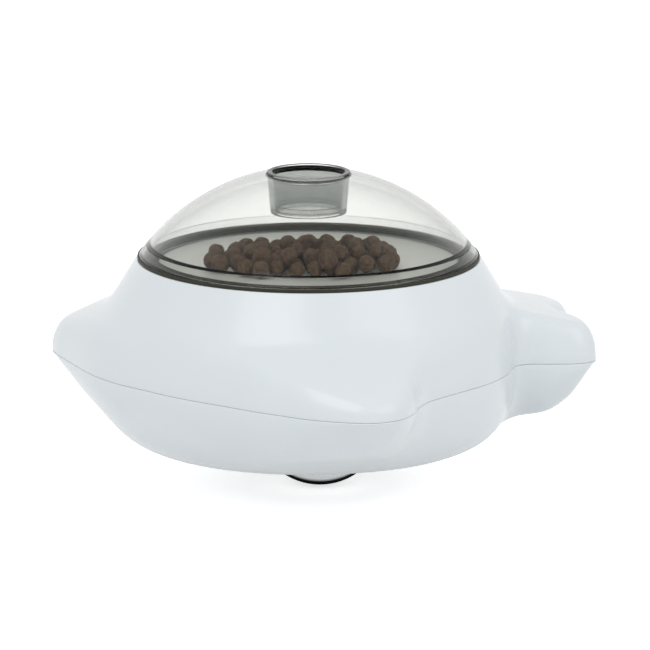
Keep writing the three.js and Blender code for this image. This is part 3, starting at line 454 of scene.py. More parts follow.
def turned(name, section, centre, segments=None):
    """A closed piece turned about an upright axis from its half section in millimetres"""
    segments = segments or bpy.context.scene.launcher_shape.turns
    vertices, faces, rings = [], [], []
    for reach, height in section:
        if reach < ON_AXIS:
            rings.append([len(vertices)] * segments)
            vertices.append((0, 0, height))
            continue
        start = len(vertices)
        for k in range(segments):
            angle = 2 * math.pi * k / segments
            vertices.append((reach * math.cos(angle), reach * math.sin(angle), height))
        rings.append(list(range(start, start + segments)))
    on_axis = section[0][0] < ON_AXIS and section[-1][0] < ON_AXIS
    for i in range(len(section) - (1 if on_axis else 0)):
        first, second = rings[i], rings[(i + 1) % len(section)]
        for k in range(segments):
            j = (k + 1) % segments
            face = [first[k], first[j], second[j], second[k]]
            face = [v for n, v in enumerate(face) if v not in face[:n]]
            if len(face) > 2:
                faces.append(face)
    return new_object(name, to_row(vertices, centre), faces)


def cut_with(obj, cutter, operation="DIFFERENCE"):
    """Applies a boolean to a piece and removes the cutter"""
    modifier = obj.modifiers.new("cut", "BOOLEAN")
    modifier.operation = operation
    modifier.solver = "EXACT"
    modifier.object = cutter
    apply_modifiers(obj)
    bpy.data.objects.remove(cutter)
    shade_smooth(obj.data)


def finish_piece(obj, body, slot, nodes, finish=None):
    """Gives a piece its material, by its finish or else its slot, puts it under its body's empty and hides
    the CAD nodes that it stands in for
    """
    obj.data.materials.clear()
    obj.data.materials.append(FINISHES[finish or slot])
    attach(obj, body)
    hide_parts(*nodes)


def seam_outline(samples):
    """The closed outline at the seam, in plan. The curve is the one that the part's source draws."""
    points = []
    for reach, _, _, shares in LIMBS:
        for angle, share in shares:
            distance, bearing = SEAM_RADIUS + (reach - SEAM_RADIUS) * share, math.radians(angle)
            points.append((distance * math.cos(bearing), distance * math.sin(bearing)))

    def knot(a, b):
        return np.sqrt(np.linalg.norm(a - b, axis=1))[:, None]

    p1 = np.array(points)
    p0, p2, p3 = np.roll(p1, 1, axis=0), np.roll(p1, -1, axis=0), np.roll(p1, -2, axis=0)
    d0, d1, d2 = knot(p0, p1), knot(p1, p2), knot(p2, p3)
    t1 = ((p1 - p0) / d0 - (p2 - p0) / (d0 + d1) + (p2 - p1) / d1) * d1
    t2 = ((p2 - p1) / d1 - (p3 - p1) / (d1 + d2) + (p3 - p2) / d2) * d1
    result = []
    for step in range(samples):
        t = step / samples
        result.append(
            p1 + t1 * t + (3 * (p2 - p1) - 2 * t1 - t2) * t**2 + (2 * (p1 - p2) + t1 + t2) * t**3
        )
    return np.stack(result, axis=1).reshape(-1, 2)


def outline_distance(outline, points):
    """How far points in plan lie from the outline"""
    best = np.full(len(points), np.inf)
    for a, d in zip(outline, np.roll(outline, -1, axis=0) - outline):
        along = np.clip(((points - a) @ d) / (d @ d), 0, 1)
        best = np.minimum(best, np.linalg.norm(points - a - along[:, None] * d, axis=1))
    return best


def edge_profile(distance, width, roundness):
    """Rise from 0 at an edge to 1 at a width away from it"""
    left = np.maximum(1 - distance / width, 0)
    return (1 - left**roundness) ** (1 / roundness)


def soft_max(a, b, softness):
    """The larger of two heights, with a fillet where they cross"""
    share = np.clip(0.5 + 0.5 * (a - b) / softness, 0, 1)
    return b + (a - b) * share + softness * share * (1 - share)


def limb_values(points):
    """Reach, tip height and keel run of the limb that each direction in plan belongs to"""
    starts = [shares[0][0] for *_, shares in LIMBS]
    nexts = starts[1:] + [starts[0] + 360]
    ends = [(shares[-1][0] + start) / 2 for (*_, shares), start in zip(LIMBS, nexts)]
    first = ends[-1] - 360
    counted = first + (np.degrees(np.arctan2(points[:, 1], points[:, 0])) - first) % 360
    index = np.minimum(np.searchsorted(ends, counted, side="right"), len(LIMBS) - 1)
    return np.array([limb[:3] for limb in LIMBS], float)[index].T


def upper_height(distance, points):
    """Height of the upper shell above the seam, from the distance to the outline and the place in plan"""
    reach = np.linalg.norm(points, axis=1)
    limb_reach, tip, _ = limb_values(points)
    outward = np.maximum(reach - SEAM_RADIUS, 0) / (limb_reach - SEAM_RADIUS)
    top = LIMB_ROOT_TOP + (tip - LIMB_ROOT_TOP) * outward
    limb = top * edge_profile(distance, LIMB_TOP_EDGE, TOP_ROUNDNESS)
    return soft_max(sphere_height(BODY_RADIUS, reach), limb, LIMB_FILLET)


def round_depth(reach):
    """Depth of the lower shell's round bowl below the seam"""
    draft = math.radians(WALL_DRAFT)
    wall = (BOTTOM_DEPTH - BOTTOM_FILLET + BOTTOM_FILLET * math.sin(draft)) / math.cos(draft)
    wall_end = SEAM_RADIUS - wall * math.sin(draft)
    fillet_centre = wall_end - BOTTOM_FILLET * math.cos(draft)
    inside = np.clip(reach - fillet_centre, 0, BOTTOM_FILLET)
    foot = BOTTOM_DEPTH - BOTTOM_FILLET + np.sqrt(BOTTOM_FILLET**2 - inside**2)
    return np.where(reach >= wall_end, (SEAM_RADIUS - reach) / math.tan(draft), foot)


def lower_depth(distance, points):
    """Depth of the lower shell below the seam: the bowl with the limbs' keels"""
    reach = np.linalg.norm(points, axis=1)
    limb_reach, _, run = limb_values(points)
    along = edge_profile(np.maximum(limb_reach - reach, 0), run, KEEL_ROUNDNESS)
    across = edge_profile(distance, LIMB_KEEL_EDGE, KEEL_EDGE_ROUNDNESS)
    keel = LIMB_KEEL * along * across
    return np.minimum(soft_max(round_depth(reach), keel, KEEL_FILLET), BOTTOM_DEPTH)


def relax(net, passes):
    """Evens out a ringed plan net so that its lines run smoothly and don't cross"""
    for _ in range(passes):
        outside, here, inside = net[:-2], net[1:-1], net[2:]
        after, before = np.roll(here, -1, axis=1), np.roll(here, 1, axis=1)
        around, across = (after - before) / 2, (inside - outside) / 2
        alpha = (around**2).sum(-1, keepdims=True)
        gamma = (across**2).sum(-1, keepdims=True)
        beta = (around * across).sum(-1, keepdims=True)
        twist = np.roll(inside, -1, axis=1) - np.roll(inside, 1, axis=1)
        twist = twist - np.roll(outside, -1, axis=1) + np.roll(outside, 1, axis=1)
        moved = alpha * (outside + inside) + gamma * (after + before) - beta / 2 * twist
        net[1:-1] = RELAX_KEPT * here + RELAX_MOVED * moved / (2 * (alpha + gamma))
    return net


def plan_net(outline, hole_x, hole_radius):
    """Plan points of evenly counted rings between the outline and a round hole"""
    base = outline[::NET_COARSENESS]
    angles = np.unwrap(np.arctan2(base[:, 1], base[:, 0] - hole_x))
    whole = 2 * math.pi
    for _ in range(ANGLE_PASSES):
        before = np.concatenate([[angles[-1] - whole], angles[:-1]])
        after = np.concatenate([angles[1:], [angles[0] + whole]])
        angles = (before + 2 * angles + after) / 4

    def hole(bearings):
        return np.stack(
            [hole_x + hole_radius * np.cos(bearings), hole_radius * np.sin(bearings)], axis=1
        )

    half = NET_RINGS // 2
    share = np.linspace(0, 1, half + 1)[:, None, None]
    net = relax(base[None] * (1 - share) + hole(angles)[None] * share, COARSE_PASSES)
    # finer in both directions, with the true outline and hole as its ends
    fine = np.empty((NET_RINGS + 1, len(outline), 2))
    positions = np.arange(len(outline)) / NET_COARSENESS
    corners = np.arange(len(base) + 1)
    steps = np.linspace(0, half, NET_RINGS + 1)
    for axis in (0, 1):
        around = [np.interp(positions, corners, np.append(r[:, axis], r[0, axis])) for r in net]
        around = np.stack(around)
        for i in range(len(outline)):
            fine[:, i, axis] = np.interp(steps, np.arange(half + 1), around[:, i])
    fine[0] = outline
    fine[-1] = hole(np.interp(positions, corners, np.append(angles, angles[0] + whole)))
    return relax(fine, FINE_PASSES)


def at_shares(net, shares):
    """Rings of a net at given shares of the way inwards"""
    last = len(net) - 1
    result = []
    for share in shares:
        at = share * last
        low = min(int(at), last - 1)
        result.append(net[low] * (1 - at + low) + net[low + 1] * (at - low))
    return np.array(result)


def skin(side, outline, lip):
    """Outer skin of a shell as rings of points: side is 1 for the upper shell and -1 for the lower one"""
    upper = side > 0
    hole_x, hole_radius = (0, RIM_RADIUS) if upper else (ROLLER_OFFSET, CUP_RADIUS + SLIDE_GAP)
    shares = np.linspace(0, 1, SKIN_RINGS) ** SKIN_CROWDING
    rings = at_shares(plan_net(outline, hole_x, hole_radius), shares)
    flat = rings.reshape(-1, 2)
    distance = outline_distance(outline, flat)
    height = upper_height(distance, flat) if upper else lower_depth(distance, flat)
    height = height.reshape(rings.shape[:2])
    # smooths the ridge along the middle of each limb
    fade_in = np.clip((shares - RIDGE_START) / RIDGE_FADE_IN, 0, 1)[:, None]
    keep = fade_in * np.clip((1 - shares) / RIDGE_FADE_OUT, 0, 1)[:, None]
    for _ in range(RIDGE_PASSES):
        before, after = np.roll(height, 1, 1)[1:-1], np.roll(height, -1, 1)[1:-1]
        inner = height.copy()
        inner[1:-1] = (height[2:] + height[:-2] + before + after) / 4
        height = height * (1 - keep) + inner * keep
    lip_top = SEEN_GAP / 2 + lip
    points = np.dstack([rings, side * np.maximum(height, lip_top)])
    points[0, :, 2] = side * lip_top
    # the rounded lip at the seam
    tangent = np.roll(outline, -1, 0) - np.roll(outline, 1, 0)
    inward = np.stack([-tangent[:, 1], tangent[:, 0]], 1) / np.linalg.norm(tangent, axis=1)[:, None]
    lips = []
    for angle in LIP_ANGLES:
        bend = math.radians(angle)
        ring = outline + inward * lip * (1 - math.cos(bend))
        level = side * (SEEN_GAP / 2 + lip * (1 - math.sin(bend)))
        lips.append(np.column_stack([ring, np.full(len(ring), level)]))
    return np.concatenate([lips, points])


def normals_of(rings, side):
    around = np.roll(rings, -1, 1) - np.roll(rings, 1, 1)
    across = np.gradient(rings, axis=0)
    normals = np.cross(around, across) * side
    normals /= np.linalg.norm(normals, axis=2)[:, :, None] + LEAST_LENGTH
    for _ in range(NORMAL_PASSES):
        normals = normals + np.roll(normals, 1, 1) + np.roll(normals, -1, 1)
        normals /= np.linalg.norm(normals, axis=2)[:, :, None]
    return normals


def band(name, rings, centre):
    """A closed band through rings of points, the last joined to the first"""
    count = len(rings[0])
    faces = []
    for r in range(len(rings)):
        n = (r + 1) % len(rings)
        for i in range(count):
            j = (i + 1) % count
            faces.append([r * count + i, r * count + j, n * count + j, n * count + i])
    return new_object(name, to_row(np.concatenate(rings), centre), faces, SHELL_SHARP_ANGLE)


def rim_rings(last_ring):
    """The upper shell's rim and the ledge that the gasket sits on"""
    angles = np.arctan2(last_ring[:, 1], last_ring[:, 0])
    corners = [
        (RIM_RADIUS - RIM_EASE, RIM_HEIGHT), (LEDGE_INNER_RADIUS + LEDGE_BEVEL, RIM_HEIGHT),
        (LEDGE_INNER_RADIUS, RIM_HEIGHT - LEDGE_BEVEL),
        (LEDGE_INNER_RADIUS, RIM_HEIGHT - LEDGE_THICKNESS),
    ]
    return [
        np.stack([radius * np.cos(angles), radius * np.sin(angles), np.full(len(angles), height)], axis=1)
        for radius, height in corners
    ]


def build_shells():
    """The upper and the lower shell, in this order"""
    lip = bpy.context.scene.launcher_shape.seam_lip / MILLIMETRE
    outline = seam_outline(OUTLINE_STEPS)
    outline = outline * (1 - SKIN_INSET / TAIL_REACH)
    made = []
    for name, side in (("shell_top", 1), ("shell_bottom", -1)):
        outer = skin(side, outline, lip)
        walled = outer[len(LIP_ANGLES):]
        inner = walled - normals_of(walled, side) * SHELL_WALL
        inner[0, :, 2] = side * SEEN_GAP / 2
        rings = list(outer)
        if side > 0:
            inner = inner[:-1]
            rings += rim_rings(outer[-1])
        made.append(band(name, rings + list(inner[::-1]), AXIS))
    add_posts(made[1])
    return made


def add_posts(shell):
    """Gives the lower shell its screw posts, each with a hole for the screw's head"""
    corners, lugs = shell_screw_places(), barrel_screw_places()
    posts = [upright(POST_RADIUS, -BOTTOM_DEPTH, POST_TOP, place) for place in corners]
    posts += [upright(BARREL_LUG_RADIUS, -BOTTOM_DEPTH, BARREL_POST_TOP, place) for place in lugs]
    for post in posts:
        for vertex in post.data.vertices:
            x, y, z = (np.array(vertex.co) - AXIS) / MILLIMETRE
            # the foot ends in the middle of the curved floor's wall
            if z < SCREW_SEAT:
                depth = float(round_depth(np.array([math.hypot(x, y)]))[0])
                vertex.co.z = AXIS[2] + (SHELL_WALL / 2 - depth) * MILLIMETRE
    cut_with(shell, joined(posts), "UNION")
    hole_bottom = -BOTTOM_DEPTH - OVERSHOOT
    holes = [
        upright(SCREW_HEAD_RADIUS + GAP, hole_bottom, SCREW_SEAT + GAP, place) for place in corners + lugs
    ]
    cut_with(shell, joined(holes))


def ring_places(reach, angles, centre_x=0.0):
    return [(centre_x + reach * math.cos(a), reach * math.sin(a), 0) for a in map(math.radians, angles)]


def shell_screw_places():
    return ring_places(POST_REACH, SHELL_SCREW_ANGLES)


def barrel_screw_places():
    angles = [BARREL_LUG_ANGLE + 360 * i / BARREL_LUGS for i in range(BARREL_LUGS)]
    return ring_places(LUG_REACH, angles, ROLLER_OFFSET)


def upright(radius, bottom, top, place):
    """A plain upright pin, to be joined to a piece or cut from it"""
    centre = AXIS + np.array(place) * MILLIMETRE
    return turned("pin", [(0, bottom), (radius, bottom), (radius, top), (0, top)], centre, PIN_SEGMENTS)


def joined(objects):
    """One object from several that don't touch"""
    whole = bmesh.new()
    for obj in objects:
        whole.from_mesh(obj.data)
    whole.to_mesh(objects[0].data)
    whole.free()
    for obj in objects[1:]:
        bpy.data.objects.remove(obj)
    return objects[0]


def add(tree, kind, inputs=None, **settings):
    """A node with its settings, and with each input linked to a socket or set to a value"""
    node = tree.nodes.new(kind)
    for key, value in settings.items():
        setattr(node, key, value)
    for key, value in (inputs or {}).items():
        if isinstance(value, bpy.types.NodeSocket):
            tree.links.new(value, node.inputs[key])
        else:
            node.inputs[key].default_value = value
    return node


def maths(tree, operation, a, b):
    return add(tree, "ShaderNodeMath", {0: a, 1: b}, operation=operation).outputs[0]


def ramp(tree, value, low, high, start=0.0, end=1.0):
    """Spreads a value between low and high over start to end"""
    values = {"Value": value, "From Min": low, "From Max": high, "To Min": start, "To Max": end}
    return add(tree, "ShaderNodeMapRange", values).outputs["Result"]


def blended(tree, factor, first, second):
    """A colour between two: inputs 6 and 7 and output 2 are the Mix node's colours"""
    return add(tree, "ShaderNodeMix", {0: factor, 6: first, 7: second}, data_type="RGBA").outputs[2]


def object_place(tree):
    return add(tree, "ShaderNodeTexCoord").outputs["Object"]


def new_group(name, inputs, outputs, kind="ShaderNodeTree"):
    group = bpy.data.node_groups.new(name, kind)
    for label, socket_type, default in inputs:
        socket = group.interface.new_socket(label, in_out="INPUT", socket_type=socket_type)
        if default is not None:
            socket.default_value = default
    for label, socket_type in outputs:
        group.interface.new_socket(label, in_out="OUTPUT", socket_type=socket_type)
    return group, group.nodes.new("NodeGroupInput").outputs, group.nodes.new("NodeGroupOutput").inputs


def handling_group():
    """Faint handling marks: a slow change of colour and roughness over the surface"""
    group, given, out = new_group(
        "handling_marks",
        [
            ("Scale", "NodeSocketFloat", 20.0),
            ("Colour", "NodeSocketColor", (0.8, 0.8, 0.8, 1)),
            ("Worn Colour", "NodeSocketColor", (0.75, 0.75, 0.75, 1)),
            ("Smooth", "NodeSocketFloat", 0.1),
            ("Rough", "NodeSocketFloat", 0.2),
        ],
        [("Colour", "NodeSocketColor"), ("Roughness", "NodeSocketFloat")],
    )
    slow = add(
        group, "ShaderNodeTexNoise", {"Vector": object_place(group), "Scale": given["Scale"], "Detail": 4.0}
    )
    mask = ramp(group, slow.outputs["Fac"], *MARKS_RANGE)
    group.links.new(blended(group, mask, given["Colour"], given["Worn Colour"]), out["Colour"])
    group.links.new(ramp(group, mask, 0.0, 1.0, given["Smooth"], given["Rough"]), out["Roughness"])
    return group


def grain_group():
    """Fine moulded texture as a normal"""
    group, given, out = new_group(
        "moulded_grain",
        [("Scale", "NodeSocketFloat", 900.0), ("Depth", "NodeSocketFloat", 0.00002)],
        [("Normal", "NodeSocketVector")],
    )
    fine = add(
        group, "ShaderNodeTexNoise", {"Vector": object_place(group), "Scale": given["Scale"], "Detail": 2.0}
    )
    bump = add(
        group, "ShaderNodeBump", {"Strength": 1.0, "Distance": given["Depth"], "Height": fine.outputs["Fac"]}
    )
    group.links.new(bump.outputs["Normal"], out["Normal"])
    return group


# Finishes: colours and sizes that the panel doesn't show
SHARED = {}
FINISHES = {}
STEEL = {"Metallic": 1.0}
CLEAR = (0.96, 0.96, 0.95, 1)

# Plain finishes: material, colour, worn colour, least and most roughness, grain's scale and depth, sockets
PLAIN_FINISHES = {
    "rubber": (
        "olive_rubber", (0.05, 0.052, 0.037, 1), (0.042, 0.044, 0.032, 1), 0.5, 0.6, 1200.0, 0.00002,
        {"Specular IOR Level": 0.1},
    ),
    "tray": ("tray_plastic", (0.74, 0.75, 0.71, 1), (0.7, 0.71, 0.67, 1), 0.3, 0.42, 900.0, 0.00001, {}),
    "polished_steel": (
        "polished_steel_ball", (0.86, 0.88, 0.88, 1), (0.83, 0.85, 0.86, 1), 0.03, 0.07, 300.0, 0.000002,
        STEEL,
    ),
    "steel": (
        "plated_steel", (0.6, 0.61, 0.63, 1), (0.5, 0.51, 0.53, 1), 0.22, 0.36, 1500.0, 0.00001, STEEL,
    ),
    "grey_plastic": (
        "grey_plastic", (0.42, 0.44, 0.45, 1), (0.38, 0.4, 0.41, 1), 0.4, 0.55, 1200.0, 0.00002, {},
    ),
}


def finish(name, colour, worn, smooth, rough, grain_scale, grain_depth, sockets, marks_scale=18.0):
    """A material from the two shared groups, with its own values on the shader's sockets"""
    material = bpy.data.materials.new(name)
    material.use_nodes = True
    tree = material.node_tree
    shader = tree.nodes["Principled BSDF"]
    marks = add(
        tree, "ShaderNodeGroup",
        {"Scale": marks_scale, "Colour": colour, "Worn Colour": worn, "Smooth": smooth, "Rough": rough},
        node_tree=SHARED["marks"],
    )
    grain = add(
        tree, "ShaderNodeGroup", {"Scale": grain_scale, "Depth": grain_depth}, node_tree=SHARED["grain"]
    )
    tree.links.new(marks.outputs["Colour"], shader.inputs["Base Color"])
    tree.links.new(marks.outputs["Roughness"], shader.inputs["Roughness"])
    tree.links.new(grain.outputs["Normal"], shader.inputs["Normal"])
    for key, value in sockets.items():
        shader.inputs[key].default_value = value
    material.diffuse_color = colour
    return material


def near(colour, share):
    """A darker colour of the same hue"""
    return tuple(c * share for c in colour[:3]) + (1,)


def build_finishes():
    SHARED["marks"] = handling_group()
    SHARED["grain"] = grain_group()
    look = bpy.context.scene.launcher_finish
    shell = tuple(look.shell)
    smoke = tuple(look.smoke)
    FINISHES["shell"] = finish(
        "shell_plastic", shell, near(shell, 0.985), smooth=0.2, rough=0.27, grain_scale=700.0,
        grain_depth=0.000012, sockets={"IOR": 1.47, "Coat Weight": 0.15, "Coat Roughness": 0.08},
    )
    polished, frosted = {"smooth": 0.02, "rough": 0.05}, {"smooth": 0.1, "rough": 0.16}
    FINISHES["smoked"] = clear_finish("smoked_plastic", smoke, look.smoke_density, CLEAR, **polished)
    FINISHES["ring"] = clear_finish("foot_ring_plastic", smoke, look.ring_density, CLEAR, **polished)
    FINISHES["tube"] = clear_finish(
        "frosted_tube_plastic", smoke, look.smoke_density, tuple(look.tube), **frosted
    )
    pale_lip(FINISHES["tube"])
    for key, values in PLAIN_FINISHES.items():
        FINISHES[key] = finish(*values)
    FINISHES["treat"] = treat_finish(tuple(look.treat))


def clear_finish(name, smoke, density, surface, smooth, rough):
    """Clear tinted plastic that takes up light on its way through and lets lamps shine in"""
    material = finish(
        name, surface, near(surface, 0.98), smooth, rough, grain_scale=60.0, grain_depth=0.00001,
        sockets={"IOR": 1.4, "Transmission Weight": 1.0, "Specular Tint": (0.35, 0.35, 0.35, 1)},
    )
    tree = material.node_tree
    output = tree.nodes["Material Output"]
    path = add(tree, "ShaderNodeLightPath")
    through = add(tree, "ShaderNodeBsdfTransparent", {"Color": (0.9, 0.91, 0.9, 1)})
    solid = tree.nodes["Principled BSDF"].outputs[0]
    mix = add(
        tree, "ShaderNodeMixShader", {0: path.outputs["Is Shadow Ray"], 1: solid, 2: through.outputs[0]}
    )
    tree.links.new(mix.outputs[0], output.inputs["Surface"])
    tint = add(tree, "ShaderNodeVolumeAbsorption", {"Color": smoke, "Density": density})
    tree.links.new(tint.outputs[0], output.inputs["Volume"])
    return material


def pale_lip(material):
    """Leaves the tube's upper lip clear where the wall below it is grey"""
    tree = material.node_tree
    base = tree.nodes["Principled BSDF"].inputs["Base Color"]
    height = add(tree, "ShaderNodeSeparateXYZ", {"Vector": object_place(tree)}).outputs["Z"]
    top = float(AXIS[2]) + TUBE_TOP * MILLIMETRE
    lip = ramp(tree, height, top - LIP_FADE_START, top - LIP_FADE_END)
    tree.links.new(blended(tree, lip, base.links[0].from_socket, CLEAR), base)


def treat_finish(colour):
    """Baked crumb: dark pores, lighter crust and a rough surface"""
    material = finish(
        "baked_crumb", colour, near(colour, 0.55), smooth=0.75, rough=0.95, grain_scale=900.0,
        grain_depth=0.0002, sockets={}, marks_scale=420.0,
    )
    tree = material.node_tree
    place = object_place(tree)
    pores = add(tree, "ShaderNodeTexVoronoi", {"Vector": place, "Scale": 650.0})
    coarse = add(tree, "ShaderNodeTexNoise", {"Vector": place, "Scale": 330.0, "Detail": 5.0})
    height = maths(tree, "ADD", pores.outputs["Distance"], coarse.outputs["Fac"])
    bump = add(tree, "ShaderNodeBump", {"Strength": 1.0, "Distance": 0.0006, "Height": height})
    tree.links.new(bump.outputs["Normal"], tree.nodes["Principled BSDF"].inputs["Normal"])
    return material


def build_dome():
    inner = BODY_RADIUS - DOME_WALL

    def angle(radius, reach):
        return math.degrees(math.asin(reach / radius))

    foot, inner_foot = sphere_reach(BODY_RADIUS, DOME_BOTTOM), sphere_reach(inner, DOME_BOTTOM)
    hole, inner_hole = angle(BODY_RADIUS, DOME_HOLE_RADIUS), angle(inner, DOME_HOLE_RADIUS)
    outside = arc(BODY_RADIUS, hole, angle(BODY_RADIUS, foot), DOME_ARC_STEPS)
    inside = arc(inner, angle(inner, inner_foot), inner_hole, DOME_ARC_STEPS)
    section = [(reach, height - BODY_CENTRE_DROP) for reach, height in outside + inside]
    return turned("dome_cover", rounded(section, SEEN_GAP), AXIS)


def retainer_section():
    """Half section of the ring that holds the ball, bored to the ball's round"""
    outer, bore = CUP_BORE - GAP, ROLLER_RADIUS + ROLLER_CLEARANCE
    first, last = (90 + math.degrees(math.asin(drop / bore)) for drop in (CUP_SKIRT, RETAINER_RISE))
    return [
        (outer, -ROLLER_DROP - RETAINER_RISE), (outer, -ROLLER_DROP - CUP_SKIRT),
        *arc(bore, first, last, RETAINER_STEPS, -ROLLER_DROP),
    ]


def cup_section():
    """Half section of the ball's cup with its boss, dome, flange, skirt and bore"""
    mouth, boss_top = -ROLLER_DROP - CUP_SKIRT, CUP_TOP + CUP_BOSS_HEIGHT
    flange_top = FLANGE_BOTTOM + CUP_FLANGE_HEIGHT
    shoulder = math.degrees(math.asin(SPRING_SEAT_RADIUS / CUP_RADIUS))
    return [
        (0, boss_top), (CUP_BOSS_RADIUS, boss_top), (CUP_BOSS_RADIUS, CUP_TOP),
        (SPRING_SEAT_RADIUS, CUP_TOP), *arc(CUP_RADIUS, shoulder, 90, CUP_OUTSIDE_STEPS, -ROLLER_DROP),
        (CUP_RADIUS, flange_top), (FLANGE_RADIUS, flange_top), (FLANGE_RADIUS, FLANGE_BOTTOM),
        (CUP_RADIUS, FLANGE_BOTTOM), (CUP_RADIUS, mouth), (CUP_BORE, mouth),
        *arc(CUP_BORE, 90, 0, CUP_BORE_STEPS, -ROLLER_DROP)[:-1], (0, CUP_BORE - ROLLER_DROP),
    ]


def new_tree(name, sizes):
    """A geometry tree from points to painted faces, with its sizes as named inputs"""
    inputs = [("Geometry", "NodeSocketGeometry", None), *sizes, ("Finish", "NodeSocketMaterial", None)]
    return new_group(name, inputs, [("Geometry", "NodeSocketGeometry")], "GeometryNodeTree")


def repeated(tree, points, shape, **turns_and_sizes):
    """A shape on every point of a mesh, as real faces"""
    spread = add(
        tree, "GeometryNodeInstanceOnPoints", {"Points": points, "Instance": shape, **turns_and_sizes}
    )
    return add(tree, "GeometryNodeRealizeInstances", {"Geometry": spread.outputs[0]}).outputs[0]


def put_out(tree, geometry, given, out):
    """Paints a tree's faces and ends the tree with them"""
    paint = add(tree, "GeometryNodeSetMaterial", {"Geometry": geometry, "Material": given["Finish"]})
    tree.links.new(paint.outputs["Geometry"], out["Geometry"])
    return tree


def from_nodes(name, points, tree, values, finish):
    """Runs a geometry tree on a mesh of points and returns the plain mesh it makes"""
    seedbed = bpy.data.meshes.new(name)
    seedbed.from_pydata([tuple(p) for p in points], [], [])
    obj = bpy.data.objects.new(name, seedbed)
    bpy.context.scene.collection.objects.link(obj)
    modifier = obj.modifiers.new("nodes", "NODES")
    modifier.node_group = tree
    values = {**values, "Finish": FINISHES[finish]}
    for item in tree.interface.items_tree:
        if item.item_type == "SOCKET" and item.in_out == "INPUT" and item.name in values:
            modifier[item.identifier] = values[item.name]
    apply_modifiers(obj)
    if not obj.data.polygons:
        raise RuntimeError(f"the node tree of {name} made no faces")
    return obj


def treat_tree():
    """Treats on the points of a mesh: turned and sized at random, with a lumpy surface"""
    tree, given, out = new_tree(
        "treat_heap",
        [
            ("Radius", "NodeSocketFloat", 0.0043),
            ("Lumps", "NodeSocketFloat", 0.0006),
            ("Seed", "NodeSocketInt", 7),
        ],
    )
    shape = add(tree, "GeometryNodeMeshIcoSphere", {"Radius": given["Radius"], "Subdivisions": 4})
    turn = add(
        tree, "FunctionNodeRandomValue", {"Seed": given["Seed"], "Max": (6.28, 6.28, 6.28)},
        data_type="FLOAT_VECTOR",
    )
    size = add(
        tree, "FunctionNodeRandomValue", {"Seed": given["Seed"], 2: SMALLEST_TREAT, 3: LARGEST_TREAT},
        data_type="FLOAT",
    )
    real = repeated(
        tree, given["Geometry"], shape.outputs["Mesh"], Rotation=turn.outputs["Value"], Scale=size.outputs[1]
    )
    place = add(tree, "GeometryNodeInputPosition").outputs[0]
    lumps = add(tree, "ShaderNodeTexNoise", {"Vector": place, "Scale": 320.0, "Detail": 2.0})
    centred = maths(tree, "SUBTRACT", lumps.outputs["Fac"], 0.5)
    push = add(
        tree, "ShaderNodeVectorMath",
        {
            0: add(tree, "GeometryNodeInputNormal").outputs[0],
            "Scale": maths(tree, "MULTIPLY", centred, given["Lumps"]),
        },
        operation="SCALE",
    )
    lumpy = add(tree, "GeometryNodeSetPosition", {"Geometry": real, "Offset": push.outputs[0]})
    smooth = add(tree, "GeometryNodeSetShadeSmooth", {"Geometry": lumpy.outputs["Geometry"]})
    return put_out(tree, smooth.outputs["Geometry"], given, out)


def within(spots, middle, half_axes):
    """Whether points in plan lie in an ellipse"""
    return (((spots - middle) / half_axes) ** 2).sum(axis=1) < 1


def heap_top(spots):
    """Height of the heap's face above the seam: one layer of treats, and a second one in the middle"""
    return TRAY_FLOOR_HEIGHT + np.where(within(spots, *UPPER_LAYER), UPPER_LAYER_FACE, LOWER_LAYER_FACE)


def heap_points(radius):
    """Where the treats lie: each rests on those before it, at the lowest place found"""
    rng = np.random.default_rng(bpy.context.scene.launcher_shape.treat_seed)
    placed = np.empty((0, 3))
    floor = TRAY_FLOOR_HEIGHT + GAP + radius

    def resting(spots):
        if not len(placed):
            return np.full(len(spots), floor)
        level = np.linalg.norm(spots[:, None] - placed[None, :, :2], axis=2)
        rise = np.sqrt(np.maximum(4 * radius**2 - level**2, 0))
        touched = np.where(level < 2 * radius, placed[None, :, 2] + rise, floor)
        return np.maximum(touched.max(axis=1), floor)

    def room(spots, heights):
        return within(spots, *LOWER_LAYER) & (heights + radius <= heap_top(spots))

    while len(placed) < MOST_TREATS:
        spots = rng.uniform(-DROP_REACH, DROP_REACH, (DROPS, 2))
        heights = resting(spots)
        fits = room(spots, heights)
        if not fits.any():
            break
        spot = spots[np.argmin(np.where(fits, heights, np.inf))]
        for step in NUDGE_STEPS:
            around = spot + step * rng.normal(size=(NUDGES, 2))
            lower = resting(around)
            lower = np.where(room(around, lower), lower, np.inf)
            if lower.min() < resting(spot[None])[0]:
                spot = around[np.argmin(lower)]
        placed = np.vstack([placed, [*spot, resting(spot[None])[0]]])
    return placed


def build_treats():
    shape = bpy.context.scene.launcher_shape
    radius = shape.treat_size / 2
    points = to_row(heap_points(radius / MILLIMETRE), AXIS)
    values = {"Radius": radius, "Lumps": TREAT_LUMPS, "Seed": shape.treat_seed}
    return from_nodes("treat_heap", points, treat_tree(), values, "treat")


